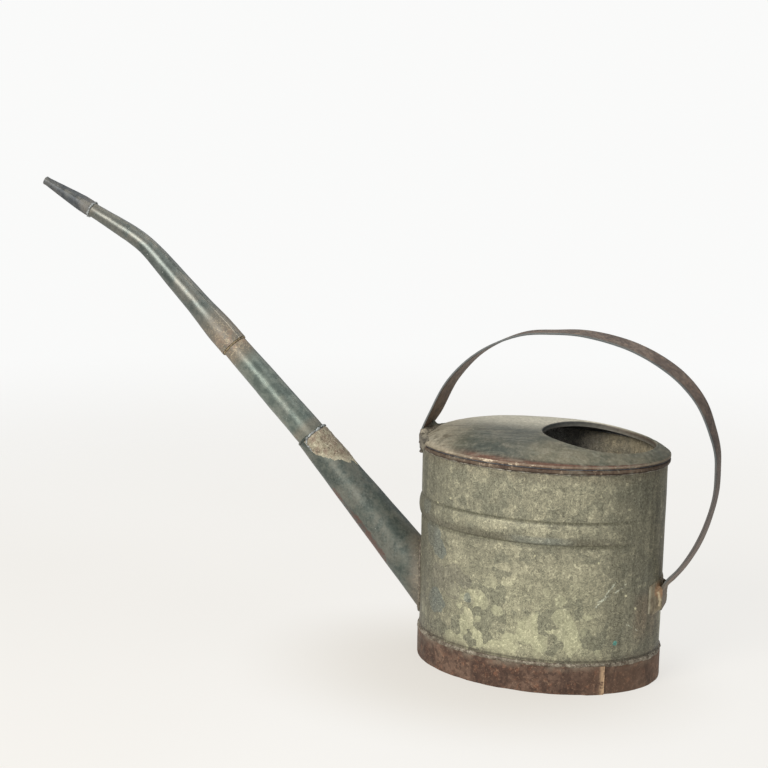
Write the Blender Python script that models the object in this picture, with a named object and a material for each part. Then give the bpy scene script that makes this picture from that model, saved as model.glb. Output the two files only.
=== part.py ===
"""Oval watering can of galvanised sheet with a long sleeved spout and an iron strap handle."""
import math
import bpy
import bmesh
from mathutils import Vector

# Sheet and fits
SHEET = 0.0009
GAP = 0.0003

# Oval body, outside half sizes and heights
BODY_HALF_LENGTH = 0.125
BODY_HALF_WIDTH = 0.0871
WALL_FOOT_Z = 0.008
RIM_BOTTOM_Z = 0.2215
RIM_HEIGHT = 0.0080
WALL_BELOW_RIM = 0.0005

# Raised bead rolled into the wall, fading towards the rear seam
BEAD_MIDDLE_Z = 0.1610
BEAD_HEIGHT = 0.0225
BEAD_REACH = 0.0024
BEAD_FADE_FROM = math.radians(14.0)
BEAD_FADE_TO = math.radians(46.0)

# Foot ring of heavier strip, lapped at the front
FOOT_HEIGHT = 0.0293
FOOT_SHEET = 0.0014
LAP_ANGLE = math.radians(-48.0)
LAP_LENGTH = 0.014
FOOT_SOLDER_HEIGHT = 0.0042
FOOT_SOLDER_DEPTH = 0.0019

# Base pan inside the foot
BASE_TOP_Z = 0.0220
BASE_FLANGE = 0.0110

# Cover, its hemmed edge and the round filling mouth
HEM_FOLD_GAP = 0.0007
HEM_BEND = 0.0011
DOME_RISE = 0.0180
DOME_POWER = 5.2
MOUTH_RADIUS = 0.0560
MOUTH_OFFSET = 0.0560
MOUTH_ROLL = 0.0022
MOUTH_LIP = 0.0050

# Spout, all in the middle plane, angles from the horizontal
SPOUT_ROOT_Z = 0.0775
CONE_ANGLE = math.radians(47.0)
CONE_LENGTH = 0.1870
CONE_ROOT_RADIUS = 0.0252
CONE_TOP_RADIUS = 0.0172
TUBE_ANGLE = math.radians(44.7)
TUBE_LENGTH = 0.1300
NECK_FIT = 0.0005
NECK_FOOT_RADIUS = 0.0153
NECK_WAIST_RADIUS = 0.0126
NECK_TOP_RADIUS = 0.0077
NECK_LENGTH = 0.2220
NECK_BEND_AT = 0.1500
NECK_BEND_LENGTH = 0.0560
NOZZLE_ANGLE = math.radians(27.0)
NOZZLE_FOOT_RADIUS = 0.0093
NOZZLE_MOUTH_RADIUS = 0.0046
NOZZLE_LENGTH = 0.0645
SLEEVE_DEPTH = 0.0130
HOLE_LEDGE = 0.0025
JOINT_SOLDER = 0.0040
ROOT_SOLDER = 0.0032

# Handle strap
STRAP_WIDTH = 0.0280
STRAP_THICKNESS = 0.0022
STRAP_EDGE = 0.0006
HANDLE_RISE = 0.1150
HANDLE_REACH = 0.0492
FRONT_LEG_BELOW_RIM = 0.0055
HEEL_TOP_Z = 0.0975
HEEL_LENGTH = 0.0220
HEEL_SETTLE = 0.0040
PATCH_SHEET = 0.0012
PATCH_HALF_ANGLE = math.radians(19.0)
PATCH_BOTTOM_Z = 0.0725
PATCH_TOP_Z = 0.1055
MOUND_LENGTH = 0.0110
MOUND_HEIGHT = 0.0095
MOUND_HALF_WIDTH = 0.0125
MOUND_SET_BACK = 0.0014

# Handle shape: share of the span, share of the rise, twist in degrees
ARCH = (
    (0.000, 0.010, 0.0),
    (0.031, 0.212, -4.0),
    (0.092, 0.509, -4.0),
    (0.194, 0.778, -2.0),
    (0.331, 0.958, -1.0),
    (0.443, 0.996, -1.0),
    (0.553, 1.000, 3.0),
    (0.713, 0.910, 7.0),
    (0.853, 0.714, 9.0),
    (0.934, 0.490, 8.0),
    (0.977, 0.242, 5.0),
    (0.996, 0.064, 3.0),
)
# Rear leg: share of the overhang, share of the drop from rim to heel, twist in degrees
REAR_LEG = (
    (1.000, 0.080, 3.0),
    (0.989, 0.251, 4.0),
    (0.873, 0.450, 6.0),
    (0.672, 0.654, 8.0),
    (0.380, 0.841, 6.0),
    (0.130, 0.955, 1.0),
)

# Mesh fineness
AROUND = 64
PIPE_AROUND = 24
STRAP_STEPS = 4

RIM_TOP_Z = RIM_BOTTOM_Z + RIM_HEIGHT
WALL_TOP_Z = RIM_TOP_Z - WALL_BELOW_RIM
HEM_OUTER = GAP + 2.0 * SHEET + HEM_FOLD_GAP


def clear_scene():
    for item in list(bpy.data.objects):
        bpy.data.objects.remove(item, do_unlink=True)


def make_material(name, colour, roughness, metallic):
    material = bpy.data.materials.new(name)
    material.use_nodes = True
    shader = material.node_tree.nodes["Principled BSDF"]
    shader.inputs["Base Color"].default_value = (*colour, 1.0)
    shader.inputs["Roughness"].default_value = roughness
    shader.inputs["Metallic"].default_value = metallic
    return material


def add_object(name, points, faces, material, smooth=32.0):
    mesh = bpy.data.meshes.new(name)
    mesh.from_pydata([tuple(p) for p in points], [], faces)
    work = bmesh.new()
    work.from_mesh(mesh)
    bmesh.ops.recalc_face_normals(work, faces=work.faces[:])
    work.to_mesh(mesh)
    work.free()
    mesh.shade_smooth()
    mesh.set_sharp_from_angle(angle=math.radians(smooth))
    mesh.materials.append(material)
    item = bpy.data.objects.new(name, mesh)
    bpy.context.scene.collection.objects.link(item)
    return item


def band_faces(rows, columns, loop_rows, loop_columns):
    faces = []
    row_steps = rows if loop_rows else rows - 1
    column_steps = columns if loop_columns else columns - 1
    for i in range(row_steps):
        for j in range(column_steps):
            here = i * columns
            above = ((i + 1) % rows) * columns
            side = (j + 1) % columns
            faces.append((here + j, here + side, above + side, above + j))
    return faces


def ring_body(name, rings, material, smooth=32.0):
    """Closed body from a loop of closed rings."""
    points = [p for ring in rings for p in ring]
    faces = band_faces(len(rings), len(rings[0]), True, True)
    return add_object(name, points, faces, material, smooth)


def strip_body(name, sections, material, smooth=32.0):
    """Closed body from closed sections laid one after another, capped at both ends."""
    count = len(sections[0])
    points = [p for section in sections for p in section]
    faces = band_faces(len(sections), count, False, True)
    faces.append(tuple(range(count)))
    last = (len(sections) - 1) * count
    faces.append(tuple(last + k for k in range(count)))
    return add_object(name, points, faces, material, smooth)


def oval_point(angle, offset, z):
    x = (BODY_HALF_LENGTH + offset) * math.cos(angle)
    y = (BODY_HALF_WIDTH + offset) * math.sin(angle)
    return Vector((x, y, z))


def oval_angles():
    return [2.0 * math.pi * k / AROUND for k in range(AROUND)]


def oval_ring(offset, z):
    return [oval_point(angle, offset, z) for angle in oval_angles()]


def smooth_step(low, high, value):
    share = min(1.0, max(0.0, (value - low) / (high - low)))
    return share * share * (3.0 - 2.0 * share)


def bead_share(angle):
    """How much of the bead stands at this place round the oval; the rear has none."""
    turn = abs((angle + math.pi) % (2.0 * math.pi) - math.pi)
    return smooth_step(BEAD_FADE_FROM, BEAD_FADE_TO, turn)


def bead_profile(share):
    """Half round bead with narrow run outs, share runs from 0 to 1 over its height."""
    return math.sin(math.pi * share) ** 0.8


def wall_ring(offset, z):
    low = BEAD_MIDDLE_Z - BEAD_HEIGHT / 2.0
    share = (z - low) / BEAD_HEIGHT
    bump = 0.0
    if 0.0 < share < 1.0:
        bump = BEAD_REACH * bead_profile(share)
    return [oval_point(a, offset + bump * bead_share(a), z) for a in oval_angles()]


def spout_frame(angle):
    along = Vector((-math.cos(angle), 0.0, math.sin(angle)))
    across = Vector((math.sin(angle), 0.0, math.cos(angle)))
    return along, across


def spout_root():
    return Vector((-BODY_HALF_LENGTH, 0.0, SPOUT_ROOT_Z))


def cone_radius(distance):
    share = distance / CONE_LENGTH
    return CONE_ROOT_RADIUS + (CONE_TOP_RADIUS - CONE_ROOT_RADIUS) * share


def circle_point(centre, across, radius, turn):
    return centre + across * (radius * math.cos(turn)) + Vector((0.0, radius * math.sin(turn), 0.0))


def wall_hit(top, low, offset):
    """Where the line from top to low first meets the oval wall grown by offset."""
    a = BODY_HALF_LENGTH + offset
    b = BODY_HALF_WIDTH + offset
    step = low - top
    two = (step.x / a) ** 2 + (step.y / b) ** 2
    one = 2.0 * (top.x * step.x / a ** 2 + top.y * step.y / b ** 2)
    rest = (top.x / a) ** 2 + (top.y / b) ** 2 - 1.0
    share = (-one - math.sqrt(one * one - 4.0 * two * rest)) / (2.0 * two)
    return top + step * share


def cone_line(turn, extra):
    """A line down the cone's side, extra outside its outer face."""
    along, across = spout_frame(CONE_ANGLE)
    top_centre = spout_root() + along * CONE_LENGTH
    inside = CONE_LENGTH * 0.25
    low_centre = spout_root() - along * inside
    top = circle_point(top_centre, across, cone_radius(CONE_LENGTH) + extra, turn)
    low = circle_point(low_centre, across, cone_radius(-inside) + extra, turn)
    return top, low


def pipe_turns():
    return [2.0 * math.pi * k / PIPE_AROUND for k in range(PIPE_AROUND)]


def make_wall(material):
    low = BEAD_MIDDLE_Z - BEAD_HEIGHT / 2.0
    heights = [WALL_FOOT_Z, WALL_FOOT_Z + (low - WALL_FOOT_Z) * 0.5]
    heights += [low + BEAD_HEIGHT * k / 6.0 for k in range(7)]
    heights += [WALL_TOP_Z]
    rings = [wall_ring(0.0, z) for z in heights]
    rings += [wall_ring(-SHEET, z) for z in reversed(heights)]
    wall = ring_body("body_wall", rings, material)
    along, across = spout_frame(CONE_ANGLE)
    radius = CONE_ROOT_RADIUS - SHEET - HOLE_LEDGE
    start = spout_root() - along * radius * 2.2
    end = spout_root() + along * radius * 2.2
    circle = []
    for centre in (start, end):
        circle.append([circle_point(centre, across, radius, turn) for turn in pipe_turns()])
    cutter = strip_body("spout_hole_cutter", circle, material)
    cutter.hide_render = True
    cutter.display_type = "WIRE"
    cut = wall.modifiers.new("spout_hole", "BOOLEAN")
    cut.operation = "DIFFERENCE"
    cut.solver = "EXACT"
    cut.object = cutter
    return wall


def make_base(material):
    outer = -SHEET - GAP
    inner = outer - SHEET
    top = BASE_TOP_Z
    low = BASE_TOP_Z - BASE_FLANGE
    shares = (0.5, 0.9)
    bend = SHEET * 1.2

    def scaled(share, z):
        return [Vector((p.x * share, p.y * share, z)) for p in oval_ring(outer, z)]

    rings = [scaled(share, top) for share in shares]
    rings += [oval_ring(outer - bend, top), oval_ring(outer - bend * 0.3, top - bend * 0.3)]
    rings += [oval_ring(outer, top - bend), oval_ring(outer, low), oval_ring(inner, low)]
    rings += [oval_ring(inner, top - SHEET)]
    rings += [scaled(share, top - SHEET) for share in reversed(shares)]
    points = [p for ring in rings for p in ring]
    faces = band_faces(len(rings), AROUND, False, True)
    for centre_z, row in ((top, 0), (top - SHEET, len(rings) - 1)):
        middle = len(points)
        points.append(Vector((0.0, 0.0, centre_z)))
        for j in range(AROUND):
            faces.append((middle, row * AROUND + j, row * AROUND + (j + 1) % AROUND))
    return add_object("base_plate", points, faces, material)


def make_foot(material):
    """A strip bent round the wall whose outer end laps over its own start."""
    mean = math.sqrt((BODY_HALF_LENGTH ** 2 + BODY_HALF_WIDTH ** 2) / 2.0)
    lap = LAP_LENGTH / mean
    ramp = lap * 0.35
    steps = []
    full = 2.0 * math.pi
    for k in range(AROUND):
        turn = full * k / AROUND
        if turn < full - ramp * 1.6:
            steps.append((turn, 0.0))
    rise = FOOT_SHEET + GAP
    steps += [(full - ramp * 1.4, 0.0), (full - ramp * 0.4, rise)]
    steps += [(full + lap * 0.5, rise), (full + lap, rise)]
    sections = []
    for turn, lift in steps:
        angle = LAP_ANGLE - lap + turn
        inner = GAP + lift
        outer = inner + FOOT_SHEET
        sections.append([
            oval_point(angle, inner, 0.0),
            oval_point(angle, outer, 0.0),
            oval_point(angle, outer, FOOT_HEIGHT),
            oval_point(angle, inner, FOOT_HEIGHT),
        ])
    return strip_body("foot_ring", sections, material)


def make_foot_solder(material):
    base = FOOT_HEIGHT + GAP
    rings = [
        oval_ring(GAP, base),
        oval_ring(FOOT_SOLDER_DEPTH, base),
        oval_ring(GAP + FOOT_SOLDER_DEPTH * 0.62, base + FOOT_SOLDER_HEIGHT * 0.65),
        oval_ring(GAP, base + FOOT_SOLDER_HEIGHT),
    ]
    return ring_body("foot_solder", rings, material, 60.0)


def dome_height(x, y):
    share_x = x / (BODY_HALF_LENGTH + HEM_OUTER)
    share_y = y / (BODY_HALF_WIDTH + HEM_OUTER)
    out = min(1.0, math.sqrt(share_x ** 2 + share_y ** 2))
    return RIM_TOP_Z + DOME_RISE * (1.0 - out ** DOME_POWER)


def dome_normal(x, y):
    step = 0.0002
    slope_x = (dome_height(x + step, y) - dome_height(x - step, y)) / (2.0 * step)
    slope_y = (dome_height(x, y + step) - dome_height(x, y - step)) / (2.0 * step)
    return Vector((-slope_x, -slope_y, 1.0)).normalized()


def make_cover(material):
    """Dome, turned down mouth and an edge folded out, down and back up outside the wall."""
    inner_layer = GAP
    fold = GAP + SHEET
    outer_in = HEM_OUTER - SHEET
    low = RIM_BOTTOM_Z
    shares = (0.0, 0.25, 0.48, 0.68, 0.84, 0.94)
    columns = []
    for angle in oval_angles():
        edge = oval_point(angle, HEM_OUTER, RIM_TOP_Z)
        turn = math.atan2(edge.y, edge.x - MOUTH_OFFSET)
        way = Vector((math.cos(turn), math.sin(turn), 0.0))
        centre = Vector((MOUTH_OFFSET, 0.0, 0.0))
        crest = centre + way * (MOUTH_RADIUS + MOUTH_ROLL)
        crest_z = dome_height(crest.x, crest.y)
        hub_z = crest_z - MOUTH_ROLL
        column = []
        column.append(centre + way * MOUTH_RADIUS + Vector((0.0, 0.0, hub_z - MOUTH_LIP)))
        for bend in (0.0, 30.0, 60.0):
            lean = math.radians(bend)
            reach = MOUTH_RADIUS + MOUTH_ROLL * (1.0 - math.cos(lean))
            height = hub_z + MOUTH_ROLL * math.sin(lean)
            column.append(centre + way * reach + Vector((0.0, 0.0, height)))
        for share in shares:
            flat = crest + (edge - crest) * share
            column.append(Vector((flat.x, flat.y, dome_height(flat.x, flat.y))))
        column.append(edge)
        for offset, z in (
            (HEM_OUTER, low + HEM_BEND),
            (HEM_OUTER - HEM_BEND * 0.55, low),
            (inner_layer + HEM_BEND * 0.55, low),
            (inner_layer, low + HEM_BEND),
            (inner_layer, RIM_TOP_Z - SHEET),
            (fold, RIM_TOP_Z - SHEET),
            (fold, low + HEM_BEND * 1.2),
            (fold + HEM_FOLD_GAP * 0.5, low + SHEET),
            (outer_in, low + HEM_BEND * 1.2),
            (outer_in, RIM_TOP_Z - SHEET * 0.45),
        ):
            column.append(oval_point(angle, offset, z))
        for share in reversed(shares[1:]):
            flat = crest + (edge - crest) * share
            outer = Vector((flat.x, flat.y, dome_height(flat.x, flat.y)))
            column.append(outer - dome_normal(flat.x, flat.y) * SHEET)
        for bend in (88.0, 45.0, 0.0):
            lean = math.radians(bend)
            bow = MOUTH_ROLL - SHEET
            reach = MOUTH_RADIUS + MOUTH_ROLL - bow * math.cos(lean)
            height = hub_z + bow * math.sin(lean)
            column.append(centre + way * reach + Vector((0.0, 0.0, height)))
        reach = MOUTH_RADIUS + SHEET
        column.append(centre + way * reach + Vector((0.0, 0.0, hub_z - MOUTH_LIP)))
        columns.append(column)
    rings = [[column[row] for column in columns] for row in range(len(columns[0]))]
    return ring_body("cover", rings, material, 35.0)


def make_cone(material):
    steps = 4
    outer = []
    inner = []
    for turn in pipe_turns():
        top, low = cone_line(turn, 0.0)
        foot = wall_hit(top, low, GAP)
        outer.append([top + (foot - top) * (k / steps) for k in range(steps + 1)])
        top, low = cone_line(turn, -SHEET)
        foot = wall_hit(top, low, GAP)
        inner.append([foot + (top - foot) * (k / steps) for k in range(steps + 1)])
    rings = []
    for row in range(steps + 1):
        rings.append([line[row] for line in outer])
    for row in range(steps + 1):
        rings.append([line[row] for line in inner])
    return ring_body("spout_cone", rings, material)


def pipe_rings(stations, radii, angles, material, name):
    """Thin walled pipe through stations in the middle plane."""
    outer = []
    inner = []
    for centre, radius, angle in zip(stations, radii, angles):
        across = spout_frame(angle)[1]
        outer.append([circle_point(centre, across, radius, turn) for turn in pipe_turns()])
        inner.append([circle_point(centre, across, radius - SHEET, turn) for turn in pipe_turns()])
    return ring_body(name, outer + inner[::-1], material)


def cone_end():
    return spout_root() + spout_frame(CONE_ANGLE)[0] * CONE_LENGTH


def tube_end():
    """Middle of the neck's open lower end, where the tube goes in."""
    return cone_end() + spout_frame(TUBE_ANGLE)[0] * TUBE_LENGTH


def tube_foot_radius():
    return CONE_TOP_RADIUS - SHEET - GAP


def tube_top_radius():
    return NECK_FOOT_RADIUS - SHEET - NECK_FIT - GAP


def make_tube(material):
    lower = spout_frame(CONE_ANGLE)[0]
    upper = spout_frame(TUBE_ANGLE)[0]
    knee = JOINT_SOLDER * 1.5
    foot = tube_foot_radius()
    top = tube_top_radius()
    start = cone_end()
    bend = start + lower * knee
    finish = tube_end() + upper * SLEEVE_DEPTH
    middle_angle = (CONE_ANGLE + TUBE_ANGLE) / 2.0
    stations = [start - lower * SLEEVE_DEPTH, start, bend]
    radii = [foot, foot, foot * 0.995]
    angles = [CONE_ANGLE, CONE_ANGLE, middle_angle]
    for share in (0.33, 0.66, 1.0):
        stations.append(bend + (finish - bend) * share)
        radii.append(foot + (top - foot) * min(1.0, share * 1.06))
        angles.append(TUBE_ANGLE)
    return pipe_rings(stations, radii, angles, material, "spout_tube")


def neck_angle(distance):
    low = NECK_BEND_AT - NECK_BEND_LENGTH / 2.0
    high = NECK_BEND_AT + NECK_BEND_LENGTH / 2.0
    share = smooth_step(low, high, distance)
    return TUBE_ANGLE + (NOZZLE_ANGLE - TUBE_ANGLE) * share


def neck_radius(distance):
    bell = SLEEVE_DEPTH * 1.3
    if distance < bell:
        return NECK_FOOT_RADIUS
    waist = NECK_BEND_AT * 0.45
    if distance < waist:
        share = smooth_step(bell, waist, distance)
        return NECK_FOOT_RADIUS + (NECK_WAIST_RADIUS - NECK_FOOT_RADIUS) * share
    share = min(1.0, (distance - waist) / (NECK_LENGTH - waist))
    return NECK_WAIST_RADIUS + (NECK_TOP_RADIUS - NECK_WAIST_RADIUS) * share


def neck_path():
    """Stations along the neck: distance, centre and angle."""
    total = NECK_LENGTH + SLEEVE_DEPTH
    fine = 400
    centre = tube_end()
    track = [(0.0, centre.copy(), neck_angle(0.0))]
    for k in range(fine):
        distance = total * (k + 0.5) / fine
        centre = centre + spout_frame(neck_angle(distance))[0] * (total / fine)
        track.append((total * (k + 1) / fine, centre.copy(), neck_angle(distance)))
    return track


def neck_at(track, distance):
    return min(track, key=lambda item: abs(item[0] - distance))


def make_neck(material):
    track = neck_path()
    low = NECK_BEND_AT - NECK_BEND_LENGTH / 2.0
    wanted = [0.0, SLEEVE_DEPTH * 1.2, NECK_BEND_AT * 0.24, NECK_BEND_AT * 0.45]
    wanted += [low + NECK_BEND_LENGTH * k / 4.0 for k in range(5)]
    wanted += [NECK_LENGTH - 0.002, NECK_LENGTH + SLEEVE_DEPTH]
    stations = []
    radii = []
    angles = []
    for distance in wanted:
        reached, centre, angle = neck_at(track, distance)
        stations.append(centre)
        radii.append(neck_radius(reached))
        angles.append(angle)
    return pipe_rings(stations, radii, angles, material, "spout_neck")


def nozzle_foot():
    return neck_at(neck_path(), NECK_LENGTH)[1]


def make_nozzle(material):
    along = spout_frame(NOZZLE_ANGLE)[0]
    start = nozzle_foot()
    fitted = max(NOZZLE_FOOT_RADIUS, NECK_TOP_RADIUS + GAP + SHEET)
    shares = (0.0, SLEEVE_DEPTH * 1.1 / NOZZLE_LENGTH, 0.55, 0.96, 1.0)
    narrow = NOZZLE_MOUTH_RADIUS
    middle = fitted + (narrow - fitted) * 0.56
    radii = (fitted, fitted * 0.985, middle, narrow, narrow * 1.06)
    stations = [start + along * (NOZZLE_LENGTH * share) for share in shares]
    return pipe_rings(stations, radii, [NOZZLE_ANGLE] * 5, material, "spout_nozzle")


def solder_ring(name, centre, angle, way, pipe_radius, sleeve_radius, material):
    """Fillet on the inner pipe against the open end of the sleeve over it."""
    along, across = spout_frame(angle)
    step = along * way
    inner = pipe_radius + GAP
    outer = max(sleeve_radius, inner + 0.0006)
    reach = JOINT_SOLDER
    profile = (
        (inner, GAP),
        (outer, GAP),
        (outer * 0.45 + inner * 0.55, GAP + reach * 0.5),
        (inner, GAP + reach),
    )
    rings = []
    for radius, distance in profile:
        middle = centre + step * distance
        rings.append([circle_point(middle, across, radius, turn) for turn in pipe_turns()])
    return ring_body(name, rings, material, 60.0)


def make_root_solder(material):
    """Fillet of solder where the spout meets the wall."""
    corner = []
    on_wall = []
    hollow = []
    on_cone = []
    for turn in pipe_turns():
        top, low = cone_line(turn, GAP)
        seat = wall_hit(top, low, GAP)
        top_out, low_out = cone_line(turn, ROOT_SOLDER)
        spread = wall_hit(top_out, low_out, GAP)
        climb = seat + (top - seat).normalized() * ROOT_SOLDER
        corner.append(seat)
        on_wall.append(spread)
        on_cone.append(climb)
        hollow.append((spread + climb) * 0.36 + seat * 0.28)
    return ring_body("root_solder", [corner, on_wall, hollow, on_cone], material, 60.0)


def strap_front_x():
    return -(BODY_HALF_LENGTH + HEM_OUTER + GAP + STRAP_THICKNESS / 2.0)


def heel_x():
    return BODY_HALF_LENGTH + GAP + PATCH_SHEET + GAP + STRAP_THICKNESS / 2.0


def strap_controls():
    """Places on the strap's middle line with its twist there."""
    front = strap_front_x()
    back = BODY_HALF_LENGTH + HANDLE_REACH
    drop = RIM_TOP_Z - HEEL_TOP_Z
    rest = RIM_BOTTOM_Z - FRONT_LEG_BELOW_RIM
    controls = [(front, rest, 0.0), (front, (rest + RIM_TOP_Z) / 2.0, 0.0)]
    for share_x, share_z, twist in ARCH:
        x = front + (back - front) * share_x
        controls.append((x, RIM_TOP_Z + HANDLE_RISE * share_z, twist))
    heel = heel_x()
    for share_x, share_z, twist in REAR_LEG:
        x = heel + (back - heel) * share_x
        controls.append((x, RIM_TOP_Z - drop * share_z, twist))
    controls.append((heel, HEEL_TOP_Z - HEEL_SETTLE, 0.0))
    controls.append((heel, HEEL_TOP_Z - HEEL_LENGTH * 0.6, 0.0))
    controls.append((heel, HEEL_TOP_Z - HEEL_LENGTH, 0.0))
    return controls


def through_points(controls, steps):
    """Smooth line through the control places, with centripetal spacing."""
    places = [Vector(c) for c in controls]
    places = [places[0] * 2.0 - places[1]] + places + [places[-1] * 2.0 - places[-2]]
    line = []
    for k in range(1, len(places) - 2):
        p0, p1, p2, p3 = places[k - 1:k + 3]
        t0 = 0.0
        t1 = t0 + max(1e-6, (p1 - p0).xy.length) ** 0.5
        t2 = t1 + max(1e-6, (p2 - p1).xy.length) ** 0.5
        t3 = t2 + max(1e-6, (p3 - p2).xy.length) ** 0.5
        for step in range(steps):
            t = t1 + (t2 - t1) * step / steps
            a1 = p0 * ((t1 - t) / (t1 - t0)) + p1 * ((t - t0) / (t1 - t0))
            a2 = p1 * ((t2 - t) / (t2 - t1)) + p2 * ((t - t1) / (t2 - t1))
            a3 = p2 * ((t3 - t) / (t3 - t2)) + p3 * ((t - t2) / (t3 - t2))
            b1 = a1 * ((t2 - t) / (t2 - t0)) + a2 * ((t - t0) / (t2 - t0))
            b2 = a2 * ((t3 - t) / (t3 - t1)) + a3 * ((t - t1) / (t3 - t1))
            line.append(b1 * ((t2 - t) / (t2 - t1)) + b2 * ((t - t1) / (t2 - t1)))
    line.append(places[-2])
    return line


def strap_line():
    """The strap's middle line, held flat against the rim in front and the patch behind."""
    line = through_points(strap_controls(), STRAP_STEPS)
    for place in line:
        if place.y < RIM_TOP_Z and place.x > 0.0:
            place.x = max(place.x, heel_x())
        elif place.y < RIM_TOP_Z:
            place.x = strap_front_x()
    return line


def strap_sections():
    line = strap_line()
    half = STRAP_WIDTH / 2.0
    thick = STRAP_THICKNESS / 2.0
    edge = STRAP_EDGE
    outline = (
        (-half, -thick + edge), (-half + edge, -thick), (half - edge, -thick),
        (half, -thick + edge), (half, thick - edge), (half - edge, thick),
        (-half + edge, thick), (-half, thick - edge),
    )
    sections = []
    for k, place in enumerate(line):
        before = line[max(0, k - 1)]
        after = line[min(len(line) - 1, k + 1)]
        way = Vector((after.x - before.x, 0.0, after.y - before.y)).normalized()
        out = Vector((-way.z, 0.0, way.x))
        twist = math.radians(place.z)
        side = Vector((0.0, 1.0, 0.0))
        wide = side * math.cos(twist) + out * math.sin(twist)
        deep = out * math.cos(twist) - side * math.sin(twist)
        centre = Vector((place.x, 0.0, place.y))
        sections.append([centre + wide * u + deep * v for u, v in outline])
    return sections


def make_strap(material):
    return strip_body("handle_strap", strap_sections(), material, 30.0)


def front_leg_inner_x(y, z):
    """The strap's inner face on the front leg, at this place across it and this height."""
    line = strap_line()
    here = line[0]
    for low, high in zip(line, line[1:]):
        if low.y <= z < high.y:
            here = low.lerp(high, (z - low.y) / (high.y - low.y))
            break
    turned = y * math.tan(math.radians(here.z))
    return here.x - turned + STRAP_THICKNESS / 2.0 * 1.15


def cover_edge_x(y):
    """The cover's front edge at this distance from the middle plane."""
    share = y / (BODY_HALF_WIDTH + HEM_OUTER)
    return -(BODY_HALF_LENGTH + HEM_OUTER) * math.sqrt(1.0 - share ** 2)


def make_mound(material):
    """Solder heaped between the strap's front leg and the cover."""
    sections = []
    stations = 9
    for k in range(stations):
        share = -1.0 + 2.0 * k / (stations - 1)
        y = MOUND_HALF_WIDTH * share
        full = math.sqrt(max(0.0, 1.0 - (share * 0.94) ** 2))
        start = cover_edge_x(y) + MOUND_SET_BACK
        height = MOUND_HEIGHT * (0.35 + 0.65 * full)
        floor_z = dome_height(start, y)
        crest = floor_z + height
        floor_x = max(start, front_leg_inner_x(y, floor_z) + GAP * 1.5)
        lean_x = max(floor_x, front_leg_inner_x(y, crest) + GAP * 2.5)
        end_x = lean_x + MOUND_LENGTH * (0.30 + 0.50 * full)
        section = []
        for part in (0.0, 0.5, 1.0):
            x = floor_x + (end_x - floor_x) * part
            section.append(Vector((x, y, dome_height(x, y) + GAP * 1.5)))
        for part in (0.55, 0.22):
            x = lean_x + (end_x - lean_x) * part
            rise = height * (1.0 - part) ** 2.2
            section.append(Vector((x, y, dome_height(x, y) + GAP * 3.0 + rise)))
        section.append(Vector((lean_x, y, crest)))
        sections.append(section)
    return strip_body("front_solder", sections, material, 60.0)


def make_patch(material):
    """Curved patch soldered to the wall under the handle's heel."""
    sections = []
    stations = 13
    middle = (PATCH_BOTTOM_Z + PATCH_TOP_Z) / 2.0
    half = (PATCH_TOP_Z - PATCH_BOTTOM_Z) / 2.0
    for k in range(stations):
        share = -1.0 + 2.0 * k / (stations - 1)
        angle = PATCH_HALF_ANGLE * share
        thick = PATCH_SHEET * (1.0 - 0.55 * abs(share) ** 6)
        tall = half * (1.0 - 0.16 * abs(share) ** 4)
        sections.append([
            oval_point(angle, GAP, middle - tall),
            oval_point(angle, GAP + thick * 0.5, middle - tall),
            oval_point(angle, GAP + thick, middle - tall + PATCH_SHEET),
            oval_point(angle, GAP + thick, middle + tall - PATCH_SHEET),
            oval_point(angle, GAP + thick * 0.5, middle + tall),
            oval_point(angle, GAP, middle + tall),
        ])
    return strip_body("rear_patch", sections, material, 50.0)


def settle(items):
    """Bake the modifiers, drop the cutter, and set the origin under the middle of the whole can."""
    graph = bpy.context.evaluated_depsgraph_get()
    finished = []
    for item in items:
        mesh = bpy.data.meshes.new_from_object(item.evaluated_get(graph))
        finished.append((item, mesh))
    for item, mesh in finished:
        item.modifiers.clear()
        item.data = mesh
        mesh.name = item.name
    bpy.data.objects.remove(bpy.data.objects["spout_hole_cutter"], do_unlink=True)
    low_x = min(v.co.x for item in items for v in item.data.vertices)
    high_x = max(v.co.x for item in items for v in item.data.vertices)
    shift = -(low_x + high_x) / 2.0
    for item in items:
        for vertex in item.data.vertices:
            vertex.co.x += shift
        item.data.update()


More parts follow.
